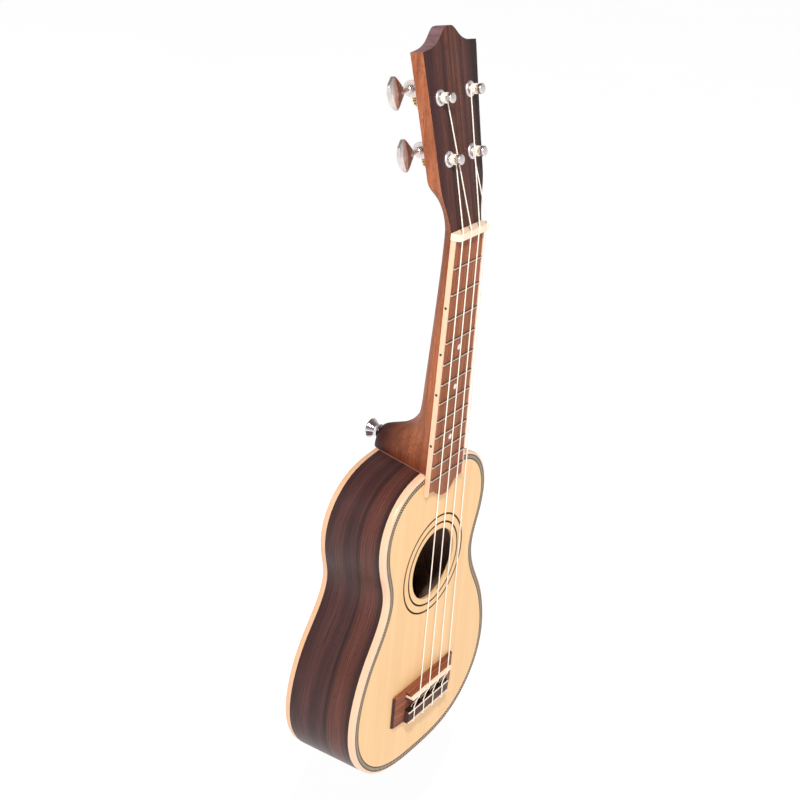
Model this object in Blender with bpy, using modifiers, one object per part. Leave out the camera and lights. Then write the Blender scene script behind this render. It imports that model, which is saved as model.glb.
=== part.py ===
"""Soprano ukulele, built from separate pieces.

Millimetres in the design, metres in the scene. X runs to the player's treble side
(right, seen from the front), Y from front to back, Z up the neck. The origin is on
the centre line, on the fingerboard's face, at the nut's front edge.
"""
import math

import bmesh
import bpy
import numpy as np
from mathutils import Matrix

MM = 0.001
GAP = 0.3                    # clearance kept between neighbouring pieces

# strings and fingerboard
SCALE_LENGTH = 346.0
FRET_COUNT = 12
BOARD_HALF_NUT = 16.95       # half width over the fret ends at the nut
BOARD_HALF_JOIN = 21.1       # and at the twelfth fret
BOARD_EDGE = 1.65            # binding strip on each side of the board
BOARD_THICK = 3.2
BOARD_SHOULDER_Z = -181.8
BOARD_TONGUE = 8.6
STRING_R = 0.4
STRING_PITCH_NUT = 10.15
STRING_PITCH_SADDLE = 12.72

# body
TOP_Y = 3.5                  # front face of the soundboard
TOP_THICK = 2.2
OUTLINE_COUNT = 96
OUTLINE_HALF = [(0.0, -412.6), (28.9, -411.0), (55.4, -402.6), (73.9, -387.5),
                (84.2, -370.5), (88.4, -349.0), (84.9, -323.4), (74.8, -298.4),
                (62.2, -276.8), (56.6, -255.9), (62.6, -233.7), (65.9, -209.1),
                (58.6, -188.6), (43.9, -175.3), (23.0, -169.1), (0.0, -167.6)]
BODY_TOP_Z = -167.6
BODY_LENGTH = 245.0
BINDING_WIDE = 2.4
BINDING_TALL = 4.7
PURFLING_WIDE = 3.45
PURFLING_DEEP = 1.0
RIB_THICK = 2.4
BACK_THICK = 2.4
BACK_RISE = 3.5              # arch of the back, above its edge
BACK_RUN = 60.0
HOLE_Z = -248.9
HOLE_R = 27.05
ROSETTE_R = (31.9, 38.0)
ROSETTE_WIDE = 1.0

# neck, heel and headstock
NECK_TOP_Y = 3.5
HEAD_TILT = math.radians(12.13)
HEAD_Y = 2.72                # headstock face at Z = 3
HEAD_Z = 3.0
HEAD_THICK = 10.5
VENEER_THICK = 1.6
NUT_BACK_Z = 4.7
CROWN_S = 116.8
CROWN_RISE = 12.8
CROWN_HALF = 11.0

# bridge and saddle
BRIDGE_FRONT_Z = -344.0
BRIDGE_BACK_Z = -370.4
BRIDGE_HALF = 40.0
BLOCK_HALF = 27.0
SADDLE_Z = -347.4
SADDLE_HIGH = 10.0
SADDLE_THICK = 2.4
TIE_HIGH = 7.6
TIE_FRONT_Z = -360.0
TIE_HOLE_HIGH = 4.4

# tuning machines: post axes on the headstock, (X, distance up the headstock)
POST_AXES = {"upper": (17.8, 87.5), "lower": (14.1, 48.3)}
POST_WAIST_R = 2.9
POST_HIGH = 10.2
BUSHING_HOLE_R = 4.7
WORM_OFFSET = 7.1            # worm axis above the post axis
WORM_DEPTH = 16.0            # behind the headstock's face
WORM_R = 1.6
GEAR_R = 5.25
GEAR_TEETH = 14
BUTTON_INNER = 16.6
BUTTON_WIDEST = 26.8
BUTTON_OUTER = 32.4
BUTTON_SPAN = 10.6           # half height of the button at its widest
BUTTON_THICK = 4.6

BODY = Matrix.Rotation(math.pi / 2, 4, "X")
HEAD = (Matrix.Translation((0.0, HEAD_Y * MM, HEAD_Z * MM))
        @ Matrix.Rotation(math.pi / 2 - HEAD_TILT, 4, "X"))

PALETTE = {
    "spruce": ((0.86, 0.66, 0.38, 1), 0.38, 0.0),
    "rosewood": ((0.13, 0.06, 0.05, 1), 0.35, 0.0),
    "mahogany": ((0.36, 0.14, 0.07, 1), 0.42, 0.0),
    "board_wood": ((0.30, 0.13, 0.08, 1), 0.50, 0.0),
    "cream": ((0.90, 0.74, 0.52, 1), 0.35, 0.0),
    "inlay": ((0.20, 0.15, 0.09, 1), 0.45, 0.0),
    "bone": ((0.90, 0.84, 0.72, 1), 0.40, 0.0),
    "inner_wood": ((0.62, 0.42, 0.24, 1), 0.60, 0.0),
    "nickel": ((0.74, 0.72, 0.69, 1), 0.22, 1.0),
    "chrome": ((0.80, 0.80, 0.80, 1), 0.10, 1.0),
    "brass": ((0.75, 0.56, 0.28, 1), 0.28, 1.0),
    "nylon": ((0.88, 0.82, 0.76, 1), 0.30, 0.0),
}


# ---------------------------------------------------------------- scene helpers

def clear_scene():
    for obj in list(bpy.data.objects):
        bpy.data.objects.remove(obj, do_unlink=True)
    for block in (bpy.data.meshes, bpy.data.curves, bpy.data.materials):
        for item in list(block):
            block.remove(item)
    for coll in list(bpy.data.collections):
        bpy.data.collections.remove(coll)


def collection(name):
    coll = bpy.data.collections.new(name)
    bpy.context.scene.collection.children.link(coll)
    return coll


def material(name):
    if name in bpy.data.materials:
        return bpy.data.materials[name]
    colour, rough, metal = PALETTE[name]
    mat = bpy.data.materials.new(name)
    mat.use_nodes = True
    shader = mat.node_tree.nodes["Principled BSDF"]
    shader.inputs["Base Color"].default_value = colour
    shader.inputs["Roughness"].default_value = rough
    shader.inputs["Metallic"].default_value = metal
    mat.diffuse_color = colour
    return mat


def own_material(obj, kind):
    mat = material(kind).copy()
    mat.name = obj.name
    obj.data.materials.clear()
    obj.data.materials.append(mat)


def add_mesh(name, bm, frame, kind, sharp=35.0):
    """Link a finished bmesh (in millimetres, local to frame) as one object."""
    bmesh.ops.recalc_face_normals(bm, faces=bm.faces)
    mesh = bpy.data.meshes.new(name)
    bm.to_mesh(mesh)
    bm.free()
    mesh.transform(Matrix.Scale(MM, 4))
    mesh.shade_smooth()
    mesh.set_sharp_from_angle(angle=math.radians(sharp))
    obj = bpy.data.objects.new(name, mesh)
    obj.matrix_world = frame
    if kind is None:
        CUTTERS.objects.link(obj)
        obj.hide_render = True
        obj.display_type = "WIRE"
    else:
        PARTS.objects.link(obj)
        own_material(obj, kind)
    return obj


def boolean(obj, cutter, operation="DIFFERENCE"):
    mod = obj.modifiers.new(cutter.name, "BOOLEAN")
    mod.operation = operation
    mod.solver = "EXACT"
    mod.object = cutter
    return obj


def bevel(obj, width, segments=2, angle=40.0):
    mod = obj.modifiers.new("bevel", "BEVEL")
    mod.width = width * MM
    mod.segments = segments
    mod.limit_method = "ANGLE"
    mod.angle_limit = math.radians(angle)
    return obj


def move_origin(obj, frame):
    """Give the object a new origin without moving its mesh."""
    obj.data.transform(frame.inverted() @ obj.matrix_world)
    obj.matrix_world = frame
    return obj


# ---------------------------------------------------------------- shape helpers

def curve_bmesh(loops, half, fill=True):
    """Flat outlines (the first one outermost) extruded by half each way."""
    data = bpy.data.curves.new("outline", "CURVE")
    data.dimensions = "2D"
    data.fill_mode = "BOTH"
    data.extrude = half
    for loop in loops:
        spline = data.splines.new("POLY")
        spline.points.add(len(loop) - 1)
        for point, (x, y) in zip(spline.points, loop):
            point.co = (x, y, 0.0, 1.0)
        spline.use_cyclic_u = True
    obj = bpy.data.objects.new("outline", data)
    bpy.context.scene.collection.objects.link(obj)
    graph = bpy.context.evaluated_depsgraph_get()
    mesh = bpy.data.meshes.new_from_object(obj.evaluated_get(graph))
    bm = bmesh.new()
    bm.from_mesh(mesh)
    bmesh.ops.remove_doubles(bm, verts=bm.verts, dist=0.001)
    bpy.data.meshes.remove(mesh)
    bpy.data.objects.remove(obj, do_unlink=True)
    bpy.data.curves.remove(data)
    return bm


def plate(name, loops, front, back, frame, kind, sharp=35.0):
    """Flat piece between two depths behind the frame's face."""
    bm = curve_bmesh(loops, (back - front) / 2)
    bmesh.ops.translate(bm, verts=bm.verts, vec=(0, 0, -(front + back) / 2))
    return add_mesh(name, bm, frame, kind, sharp)


def box(name, low, high, frame, kind):
    bm = bmesh.new()
    bmesh.ops.create_cube(bm, size=1.0)
    for v in bm.verts:
        for k in range(3):
            v.co[k] = low[k] if v.co[k] < 0 else high[k]
    return add_mesh(name, bm, frame, kind)


def cylinder(name, radius, low, high, frame, kind, sides=24):
    bm = bmesh.new()
    bmesh.ops.create_cone(bm, cap_ends=True, segments=sides, radius1=radius,
                          radius2=radius, depth=high - low)
    bmesh.ops.translate(bm, verts=bm.verts, vec=(0, 0, (low + high) / 2))
    return add_mesh(name, bm, frame, kind)


def turned(name, profile, frame, kind, steps=16, ring=False):
    """Profile of (radius, height), outer side top to bottom, spun about local Z."""
    mesh = bpy.data.meshes.new(name)
    count = len(profile)
    edges = [(i, i + 1) for i in range(count - 1)]
    if ring:
        edges.append((count - 1, 0))
    mesh.from_pydata([(r * MM, 0, z * MM) for r, z in profile], edges, [])
    obj = bpy.data.objects.new(name, mesh)
    obj.matrix_world = frame
    mod = obj.modifiers.new("turn", "SCREW")
    mod.steps = steps
    mod.render_steps = steps
    mod.use_merge_vertices = True
    mod.merge_threshold = 0.00001
    if kind is None:
        CUTTERS.objects.link(obj)
        obj.hide_render = True
        obj.display_type = "WIRE"
    else:
        PARTS.objects.link(obj)
        own_material(obj, kind)
    return obj


def loft(name, sections, kind, closed=False, frame=None, sharp=35.0):
    """Skin between sections that all have the same number of points."""
    bm = bmesh.new()
    rings = [[bm.verts.new(point) for point in section] for section in sections]
    pairs = list(zip(rings[:-1], rings[1:]))
    if closed:
        pairs.append((rings[-1], rings[0]))
    else:
        bm.faces.new(rings[0])
        bm.faces.new(rings[-1])
    for one, two in pairs:
        count = len(one)
        for i in range(count):
            j = (i + 1) % count
            bm.faces.new((one[i], one[j], two[j], two[i]))
    return add_mesh(name, bm, frame or Matrix.Identity(4), kind, sharp)


def circle(cx, cy, radius, count=32):
    step = 2 * math.pi / count
    return [(cx + radius * math.cos(i * step), cy + radius * math.sin(i * step))
            for i in range(count)]


def closed_spline(points, count):
    """Closed cubic curve through the points, resampled to equal steps."""
    p = np.array(points, float)
    n = len(p)
    h = np.linalg.norm(np.roll(p, -1, axis=0) - p, axis=1)
    system = np.zeros((n, n))
    right = np.zeros((n, 2))
    for i in range(n):
        j = (i + 1) % n
        system[i, i - 1] += h[i - 1]
        system[i, i] += 2 * (h[i - 1] + h[i])
        system[i, j] += h[i]
        right[i] = 6 * ((p[j] - p[i]) / h[i] - (p[i] - p[i - 1]) / h[i - 1])
    bend = np.linalg.solve(system, right)
    dense = []
    for i in range(n):
        j = (i + 1) % n
        for u in np.linspace(0, 1, 40, endpoint=False):
            a = 1 - u
            curve = (a ** 3 - a) * bend[i] + (u ** 3 - u) * bend[j]
            dense.append(a * p[i] + u * p[j] + curve * h[i] ** 2 / 6)
    dense = np.array(dense + [dense[0]])
    run = np.concatenate([[0], np.cumsum(np.linalg.norm(np.diff(dense, axis=0), axis=1))])
    at = np.linspace(0, run[-1], count, endpoint=False)
    return np.stack([np.interp(at, run, dense[:, 0]), np.interp(at, run, dense[:, 1])], 1)


def inset(outline, distance):
    """Closed counter-clockwise outline moved inwards."""
    before = np.roll(outline, 1, axis=0)
    after = np.roll(outline, -1, axis=0)
    along = after - before
    along /= np.linalg.norm(along, axis=1)[:, None]
    inward = np.stack([-along[:, 1], along[:, 0]], 1)
    return outline + inward * distance


def smooth(value, low, high):
    t = min(1.0, max(0.0, (value - low) / (high - low)))
    return t * t * (3 - 2 * t)


def table(value, pairs):
    """Straight-line table lookup, keys rising."""
    keys = [k for k, _ in pairs]
    return float(np.interp(value, keys, [v for _, v in pairs]))


# ---------------------------------------------------------------- body geometry

def body_outline():
    mirrored = [(-x, z) for x, z in OUTLINE_HALF[-2:0:-1]]
    return closed_spline(OUTLINE_HALF + mirrored, OUTLINE_COUNT)


def back_edge_y(z):
    """Depth of the back's edge, which deepens towards the tail."""
    t = (BODY_TOP_Z - z) / BODY_LENGTH
    return 53.0 + 26.5 * t - 16.0 * t * t


def edge_distance(x, z, outline):
    a = outline
    b = np.roll(outline, -1, axis=0)
    ab = b - a
    ap = np.array([x, z]) - a
    t = np.clip((ap * ab).sum(1) / (ab * ab).sum(1), 0, 1)
    return float(np.linalg.norm(ap - t[:, None] * ab, axis=1).min())


def back_y(x, z, outline):
    d = min(edge_distance(x, z, outline), BACK_RUN)
    return back_edge_y(z) + BACK_RISE * (1 - (1 - d / BACK_RUN) ** 2)


def rail(name, outline, profile, kind, stations=None, sharp=35.0):
    """Strip run round the body. The profile gives (inset, depth) at each height Z."""
    closed = stations is None
    stations = range(len(outline)) if closed else stations
    insets = {}
    sections = []
    for i in stations:
        section = []
        for distance, depth in profile(outline[i][1]):
            if distance not in insets:
                insets[distance] = inset(outline, distance)
            x, z = insets[distance][i]
            section.append((x, depth, z))
        sections.append(section)
    return loft(name, sections, kind, closed=closed, sharp=sharp)


def build_soundboard(outline):
    ledge = TOP_Y + PURFLING_DEEP + GAP
    edge = BINDING_WIDE + GAP
    inner = edge + PURFLING_WIDE + GAP
    steps = [(inner, TOP_Y), (inner, ledge), (edge, ledge), (edge, TOP_Y + TOP_THICK)]
    sections = [[(x, y, z) for x, z in inset(outline, d)] for d, y in steps]
    top = loft("soundboard", sections, "spruce")
    hole = Matrix.Translation((0, 0, HOLE_Z * MM)) @ BODY
    boolean(top, cylinder("soundhole_cut", HOLE_R, -20, 10, hole, None, 48))
    for i, radius in enumerate(ROSETTE_R):
        half = ROSETTE_WIDE / 2
        near, far = radius - half - 0.15, radius + half + 0.2
        ring = [(far, 1 - TOP_Y), (far, -TOP_Y - 0.9), (near, -TOP_Y - 0.9), (near, 1 - TOP_Y)]
        boolean(top, turned("groove_cut_%d" % i, ring, hole, None, 40, ring=True))
        plate(("rosette_inner", "rosette_outer")[i],
              [circle(0, HOLE_Z, radius + half, 40),
               circle(0, HOLE_Z, radius - half, 40)],
              TOP_Y, TOP_Y + 0.7, BODY, "inlay")

    def purfling(z):
        low, high = BINDING_WIDE + GAP, BINDING_WIDE + GAP + PURFLING_WIDE
        return [(low, TOP_Y), (high, TOP_Y), (high, TOP_Y + PURFLING_DEEP),
                (low, TOP_Y + PURFLING_DEEP)]
    rail("purfling", outline, purfling, "inlay")


def build_bindings(outline):
    wide = BINDING_WIDE

    def front(z):
        y = TOP_Y
        return [(wide, y), (1.6, y + 0.15), (0.6, y + 0.8), (0.0, y + 2.0),
                (0.0, y + BINDING_TALL), (wide, y + BINDING_TALL)]

    def back(z):
        y = back_edge_y(z)
        return [(wide, y), (1.2, y - 0.15), (0.3, y - 0.8), (0.0, y - 1.7),
                (0.0, y - BINDING_TALL + 0.2), (wide, y - BINDING_TALL + 0.2)]
    rail("binding_front", outline, front, "cream", sharp=50)
    rail("binding_back", outline, back, "cream", sharp=50)


def build_ribs(outline):
    """Each rib is an open strip round half the body, thickened inwards."""
    half = OUTLINE_COUNT // 2
    for side, name in ((1, "side_right"), (-1, "side_left")):
        stations = [i if side > 0 else -i for i in range(half + 1)]
        bm = bmesh.new()
        rows = []
        for i in stations:
            x, z = outline[i]
            if abs(x) < 0.5:
                x = side * GAP / 2
            front = bm.verts.new((x, TOP_Y + BINDING_TALL + GAP, z))
            back = bm.verts.new((x, back_edge_y(z) - BINDING_TALL - 0.1, z))
            rows.append((front, back))
        for (a, b), (c, d) in zip(rows[:-1], rows[1:]):
            bm.faces.new((a, b, d, c) if side > 0 else (c, d, b, a))
        bm.normal_update()
        mesh = bpy.data.meshes.new(name)
        bm.to_mesh(mesh)
        bm.free()
        mesh.transform(Matrix.Scale(MM, 4))
        middle = mesh.polygons[half // 2]
        if middle.normal.x * side < 0:
            mesh.flip_normals()
        mesh.shade_smooth()
        obj = bpy.data.objects.new(name, mesh)
        PARTS.objects.link(obj)
        own_material(obj, "rosewood")
        shell = obj.modifiers.new("thickness", "SOLIDIFY")
        shell.thickness = RIB_THICK * MM
        shell.offset = -1.0
        shell.use_even_offset = True


def build_back(outline):
    edge = inset(outline, BINDING_WIDE + GAP)
    bm = curve_bmesh([edge.tolist()], 1.0)
    bmesh.ops.dissolve_limit(bm, angle_limit=0.01, verts=bm.verts, edges=bm.edges)
    for z in np.arange(-396, -175, 24.0):
        geometry = bm.verts[:] + bm.edges[:] + bm.faces[:]
        bmesh.ops.bisect_plane(bm, geom=geometry, plane_co=(0, z, 0), plane_no=(0, 1, 0))
    for x in (-66, -44, -22, 0, 22, 44, 66):
        geometry = bm.verts[:] + bm.edges[:] + bm.faces[:]
        bmesh.ops.bisect_plane(bm, geom=geometry, plane_co=(x, 0, 0), plane_no=(1, 0, 0))
    for v in bm.verts:
        y = back_y(v.co.x, v.co.y, outline)
        v.co.z = -y if v.co.z < 0 else BACK_THICK - y
    bmesh.ops.triangulate(bm, faces=bm.faces)
    add_mesh("back", bm, BODY, "rosewood")


def build_inside(outline):
    half = OUTLINE_COUNT // 2
    first = BINDING_WIDE + GAP + 1.3
    lining = list(range(half + 6, OUTLINE_COUNT, 2)) + list(range(0, half - 5, 2))

    def front(z):
        y = TOP_Y + TOP_THICK + GAP
        return [(first, y), (first + 5.5, y), (first + 2.2, y + 10), (first, y + 10)]

    def back(z):
        y = back_edge_y(z) - BACK_THICK - GAP
        return [(first, y), (first + 5.5, y), (first + 2.2, y - 10), (first, y - 10)]
    rail("lining_front", outline, front, "inner_wood", stations=lining)
    rail("lining_back", outline, back, "inner_wood", stations=lining)

    inner = inset(outline, BINDING_WIDE + GAP)
    block = [tuple(p) for p in inner if p[1] > -200 and abs(p[0]) < 25]
    block = [(26, -174.0), *block, (-26, -174.0), (-26, -192), (26, -192)]
    plate("neck_block", [block], TOP_Y + TOP_THICK + GAP,
          back_edge_y(-170) - BACK_THICK - GAP, BODY, "inner_wood")
    tail = [tuple(p) for p in inner if p[1] < -380 and abs(p[0]) < 21]
    tail.sort()
    tail = [(-22, -396), *tail, (22, -396)]
    depth = TOP_Y + TOP_THICK + GAP
    plate("tail_block", [tail], depth + 10 + GAP,
          back_edge_y(-396) - BACK_THICK - 10 - 3 * GAP, BODY, "inner_wood")

    for name, z, reach in (("top_brace_upper", -202.0, 50.0),
                           ("top_brace_lower", -288.0, 51.0)):
        section = [(-reach, 0.0), (reach, 0.0), (reach, 2.5), (reach - 14, 7.5),
                   (14 - reach, 7.5), (-reach, 2.5)]
        points = [(x, y + depth) for x, y in section]
        profile_plate(name, points, z - 3, z + 3, "inner_wood")
    box("bridge_patch", (-36, -376, -(depth + 1.8)),
        (36, -340, -depth), BODY, "inner_wood")
    for name, z, reach in (("back_brace_upper", -226.0, 50.0),
                           ("back_brace_lower", -345.0, 76.0)):
        points = []
        for x in np.linspace(-reach, reach, 9):
            edge = min(back_y(x, z - 3.5, outline), back_y(x, z + 3.5, outline))
            points.append((x, edge - BACK_THICK - 2 * GAP))
        low = min(y for _, y in points)
        points += [(reach, low - 3), (reach - 16, low - 9), (16 - reach, low - 9),
                   (-reach, low - 3)]
        profile_plate(name, points, z - 3.5, z + 3.5, "inner_wood")


def profile_plate(name, points, z0, z1, kind):
    """Outline in (X, Y) extruded up Z."""
    bm = curve_bmesh([points], (z1 - z0) / 2)
    bmesh.ops.translate(bm, verts=bm.verts, vec=(0, 0, (z0 + z1) / 2))
    return add_mesh(name, bm, Matrix.Identity(4), kind)


# ---------------------------------------------------------------- neck

def board_half(z):
    return BOARD_HALF_NUT + (BOARD_HALF_JOIN - BOARD_HALF_NUT) * (-z / (SCALE_LENGTH / 2))


def head_half(z):
    s = (z - HEAD_Z) / math.cos(HEAD_TILT) / 100
    return 24.12 + 3.776 * s + 1.877 * s * s


def neck_half(z):
    if z <= 0:
        return board_half(z) + BOARD_EDGE
    start = board_half(0) + BOARD_EDGE
    return start + (head_half(z) - start) * smooth(z, 4, 36)


def head_face_y(z, depth):
    return HEAD_Y + (z - HEAD_Z) * math.tan(HEAD_TILT) + depth / math.cos(HEAD_TILT)


NECK_DEPTH = [(-178, 57.3), (-160, 57.1), (-155, 55.3), (-151.5, 50.0), (-149, 41.2),
              (-147, 37.2), (-144.5, 33.0), (-141, 29.1), (-136.5, 25.7), (-131, 22.2),
              (-124, 20.6), (-110, 20.0), (-88, 18.7), (-60, 17.0), (-34, 15.6),
              (-12, 14.7), (4, 14.6), (14, 15.8), (24, 17.9)]


def neck_back_y(z):
    if z > 24:
        return head_face_y(z, HEAD_THICK)
    return table(z, NECK_DEPTH)


def neck_section(z, front_y):
    """Rounded D at the neck, a squared wedge at the heel, a slab at the headstock."""
    heel = smooth(-z, 122.5, 150)
    slab = smooth(z, 14, 36)
    power = 2 + 23 * smooth(-z, 155.5, 168)
    taper = 0.51 * heel
    back = neck_back_y(z)
    half = neck_half(z)
    chamfer = 0.6
    points = []
    count = 16
    for j in range(count + 1):
        v = math.sin(math.pi * j / count)
        wide = half * (1 - taper * v) * math.sqrt(max(0.0, 1 - v ** power))
        deep = (back - front_y) * v
        step = min(j, count - j)
        if step < 6:
            flat_wide, flat_deep = half, (back - front_y - chamfer) * step / 5
        else:
            flat_wide = (half - chamfer) * (8 - step) / 2
            flat_deep = back - front_y
        wide += (flat_wide - wide) * slab
        deep += (flat_deep - deep) * slab
        x = 0.0 if 2 * j == count else math.copysign(wide, j - count / 2)
        points.append((x, front_y + deep, z))
    return points


def build_neck(outline):
    heights = [-178, -168, -163, -160, -157, -155, -153, -151, -149, -146.8, -144, -140.5, -136,
               -130.5, -124, -110, -86, -60, -34, -12, 0]
    sections = [neck_section(z, NECK_TOP_Y) for z in heights]
    sections.append(neck_section(NUT_BACK_Z, NECK_TOP_Y))
    for z in (NUT_BACK_Z + 0.1, 8, 12, 16, 20, 24, 28, 32, 36, 70, 104, 137):
        sections.append(neck_section(z, head_face_y(z, VENEER_THICK + 0.2)))
    neck = loft("neck", sections, "mahogany", sharp=40)
    boolean(neck, plate("body_cut", [inset(outline, -GAP).tolist()], -5, 80, BODY, None))
    wide = np.linspace(-36, 36, 37)
    crown = [(x, crown_s(x)) for x in wide] + [(36, 150), (-36, 150)]
    boolean(neck, plate("crown_cut", [crown], -6, 24, HEAD, None))
    for name, x, s, side in tuner_places():
        frame = HEAD @ Matrix.Translation((x * MM, s * MM, 0))
        hole = cylinder("post_hole_" + name, BUSHING_HOLE_R, -20, 6, frame, None, 20)
        boolean(neck, hole)
    screw = BODY_FRAME_STRAP
    boolean(neck, cylinder("strap_screw_hole", 1.9, -16, 4, screw, None, 12))
    return neck


def crown_s(x):
    return CROWN_S + CROWN_RISE / (1 + (abs(x) / CROWN_HALF) ** 3)


def tuner_places():
    places = []
    for level, (x, s) in POST_AXES.items():
        for side, tag in ((-1, "left"), (1, "right")):
            places.append(("%s_%s" % (level, tag), side * x, s, side))
    return places


def build_veneer():
    low = (NUT_BACK_Z + 0.9 - HEAD_Z) / math.cos(HEAD_TILT)
    ups = [low, 5, 8, 12, 16, 20, 24, 28, 34, 50, 75, 100]
    right = [(neck_half(HEAD_Z + s * math.cos(HEAD_TILT)), s) for s in ups]
    top = [(x, crown_s(x)) for x in np.linspace(30.85, -30.85, 39)]
    left = [(-x, s) for x, s in reversed(right)]
    loops = [right + top + left]
    for _, x, s, _ in tuner_places():
        loops.append(circle(x, s, BUSHING_HOLE_R, 20))
    plate("headstock_veneer", loops, 0, VENEER_THICK, HEAD, "rosewood")


def tongue_z(x):
    return BOARD_SHOULDER_Z - BOARD_TONGUE / (1 + (abs(x) / 9.5) ** 4)


def fret_z(number):
    return -SCALE_LENGTH * (1 - 2 ** (-number / 12))


def build_fingerboard():
    end = board_half(BOARD_SHOULDER_Z)
    tongue = [(x, tongue_z(x)) for x in np.linspace(-end, end, 25)]
    loop = tongue + [(board_half(0), -0.3), (-board_half(0), -0.3)]
    board = plate("fingerboard", [loop], 0, BOARD_THICK, BODY, "board_wood")
    for side, name in ((-1, "left"), (1, "right")):
        low, high = board_half(-0.3), board_half(BOARD_SHOULDER_Z)
        a, b = 0.1, BOARD_EDGE
        loop = [(side * (low + a), -0.3), (side * (low + b), -0.3),
                (side * (high + b), BOARD_SHOULDER_Z - 3.0),
                (side * (high + a), BOARD_SHOULDER_Z - 0.6)]
        plate("fingerboard_binding_" + name, [loop], 0, BOARD_THICK, BODY, "cream")
    for n in range(1, FRET_COUNT + 1):
        z = fret_z(n)
        half = board_half(z)
        boolean(board, box("slot_%02d" % n, (-half - 5, z - 0.55, -1.7),
                           (half + 5, z + 0.55, 2), BODY, None))
        ridge = [(1.15, -0.2), (1.0, -0.65), (0.55, -1.0), (0.0, -1.12), (-0.55, -1.0),
                 (-1.0, -0.65), (-1.15, -0.2), (-0.25, -0.2), (-0.25, 1.3), (0.25, 1.3),
                 (0.25, -0.2)]
        bm = curve_bmesh([[(y, w) for w, y in ridge]], half - 0.1)
        turn = Matrix(((0, 0, 1, 0), (1, 0, 0, 0), (0, 1, 0, z), (0, 0, 0, 1)))
        bm.transform(turn)
        add_mesh("fret_%02d" % n, bm, Matrix.Identity(4), "nickel")


def string_x(number, pitch):
    return (number - 1.5) * pitch


STRING_NUT_Y = -3.5


def build_nut():
    half = board_half(0) + BOARD_EDGE
    low = [(half + 0.7, NECK_TOP_Y - GAP), (half + 0.5, 0.0), (half - 0.6, -2.2),
           (half - 1.9, -3.7)]
    loop = low + [(-x, y) for x, y in reversed(low)]
    nut = profile_plate("nut", loop, 0.0, NUT_BACK_Z, "bone")
    for n in range(4):
        x = string_x(n, STRING_PITCH_NUT)
        r = STRING_R + 0.25
        boolean(nut, box("nut_slot_%d" % n, (x - r, -1, -(STRING_NUT_Y + r)),
                         (x + r, 8, 12), BODY, None))
    bevel(nut, 0.5, 1, 50)


# ---------------------------------------------------------------- bridge and strings

def high(h):
    """Height above the soundboard as a depth."""
    return TOP_Y - h


def build_bridge():
    f, b = BRIDGE_FRONT_Z, BRIDGE_BACK_Z
    s0, s1 = SADDLE_Z + SADDLE_THICK / 2 + 0.15, SADDLE_Z - SADDLE_THICK / 2 - 0.15
    ridge = [(f, GAP), (f, 3.6), (f - 0.6, 5.6), (f - 1.3, 7.2), (s0, 8.0), (s0, 2.4),
             (s1, 2.4), (s1, 6.6), (s1 - 1.0, 6.4), (s1 - 1.6, 3.0), (TIE_FRONT_Z, 3.0),
             (TIE_FRONT_Z, TIE_HIGH), (b + 0.9, TIE_HIGH), (b, TIE_HIGH - 1.0), (b, GAP)]
    bm = curve_bmesh([[(z, high(h)) for z, h in ridge]], BLOCK_HALF)
    turn = Matrix(((0, 0, 1, 0), (0, 1, 0, 0), (1, 0, 0, 0), (0, 0, 0, 1)))
    bm.transform(turn)
    bridge = add_mesh("bridge", bm, Matrix.Identity(4), "mahogany")
    inner = BLOCK_HALF - 0.2
    wing = [(-BRIDGE_HALF, GAP), (BRIDGE_HALF, GAP), (BRIDGE_HALF - 1.4, 2.1),
            (inner, 3.4), (inner, 2.0), (-inner, 2.0), (-inner, 3.4), (1.4 - BRIDGE_HALF, 2.1)]
    wings = profile_plate("bridge_wings", [(x, high(h)) for x, h in wing],
                          b + 0.05, f - 0.05, None)
    boolean(bridge, wings, "UNION")
    for n in range(4):
        x = string_x(n, STRING_PITCH_SADDLE)
        frame = Matrix.Translation((x * MM, high(TIE_HOLE_HIGH) * MM, 0))
        hole = cylinder("tie_hole_%d" % n, 0.95, b - 5, TIE_FRONT_Z + 3, frame, None, 10)
        boolean(bridge, hole)
    end = BLOCK_HALF - 0.5
    saddle = [(-end, 2.7), (end, 2.7), (end, SADDLE_HIGH - 0.6),
              (end - 0.6, SADDLE_HIGH), (0.6 - end, SADDLE_HIGH), (-end, SADDLE_HIGH - 0.6)]
    obj = profile_plate("saddle", [(x, high(h)) for x, h in saddle],
                        SADDLE_Z - SADDLE_THICK / 2, SADDLE_Z + SADDLE_THICK / 2, "bone")
    bevel(obj, 0.45, 2, 50)


def build_strings():
    crest = high(SADDLE_HIGH) - STRING_R - 0.2
    names = ("string_g", "string_c", "string_e", "string_a")
    for n, name in enumerate(names):
        side = -1 if n < 2 else 1
        level = "lower" if n in (0, 3) else "upper"
        px, ps = POST_AXES[level]
        end = HEAD @ Matrix.Translation((
            (side * px - side * (POST_WAIST_R + STRING_R + 0.3)) * MM, ps * MM, 3.0 * MM))
        end = end.translation / MM
        xs, xn = string_x(n, STRING_PITCH_SADDLE), string_x(n, STRING_PITCH_NUT)
        hole = high(TIE_HOLE_HIGH)
        path = [(xs, hole, BRIDGE_BACK_Z - 1.6), (xs, hole, TIE_FRONT_Z + 0.6),
                (xs, hole - 0.25, TIE_FRONT_Z + 1.6),
                (xs, crest, SADDLE_Z - 1.6), (xs, crest, SADDLE_Z + 1.4),
                (xn, STRING_NUT_Y, -0.6), (xn, STRING_NUT_Y, NUT_BACK_Z + 0.6), tuple(end)]
        data = bpy.data.curves.new(name, "CURVE")
        data.dimensions = "3D"
        data.bevel_depth = STRING_R * MM
        data.bevel_resolution = 2
        data.use_fill_caps = True
        spline = data.splines.new("POLY")
        spline.points.add(len(path) - 1)
        for point, co in zip(spline.points, path):
            point.co = (co[0] * MM, co[1] * MM, co[2] * MM, 1.0)
        obj = bpy.data.objects.new(name, data)
        PARTS.objects.link(obj)
        own_material(obj, "nylon")


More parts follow.
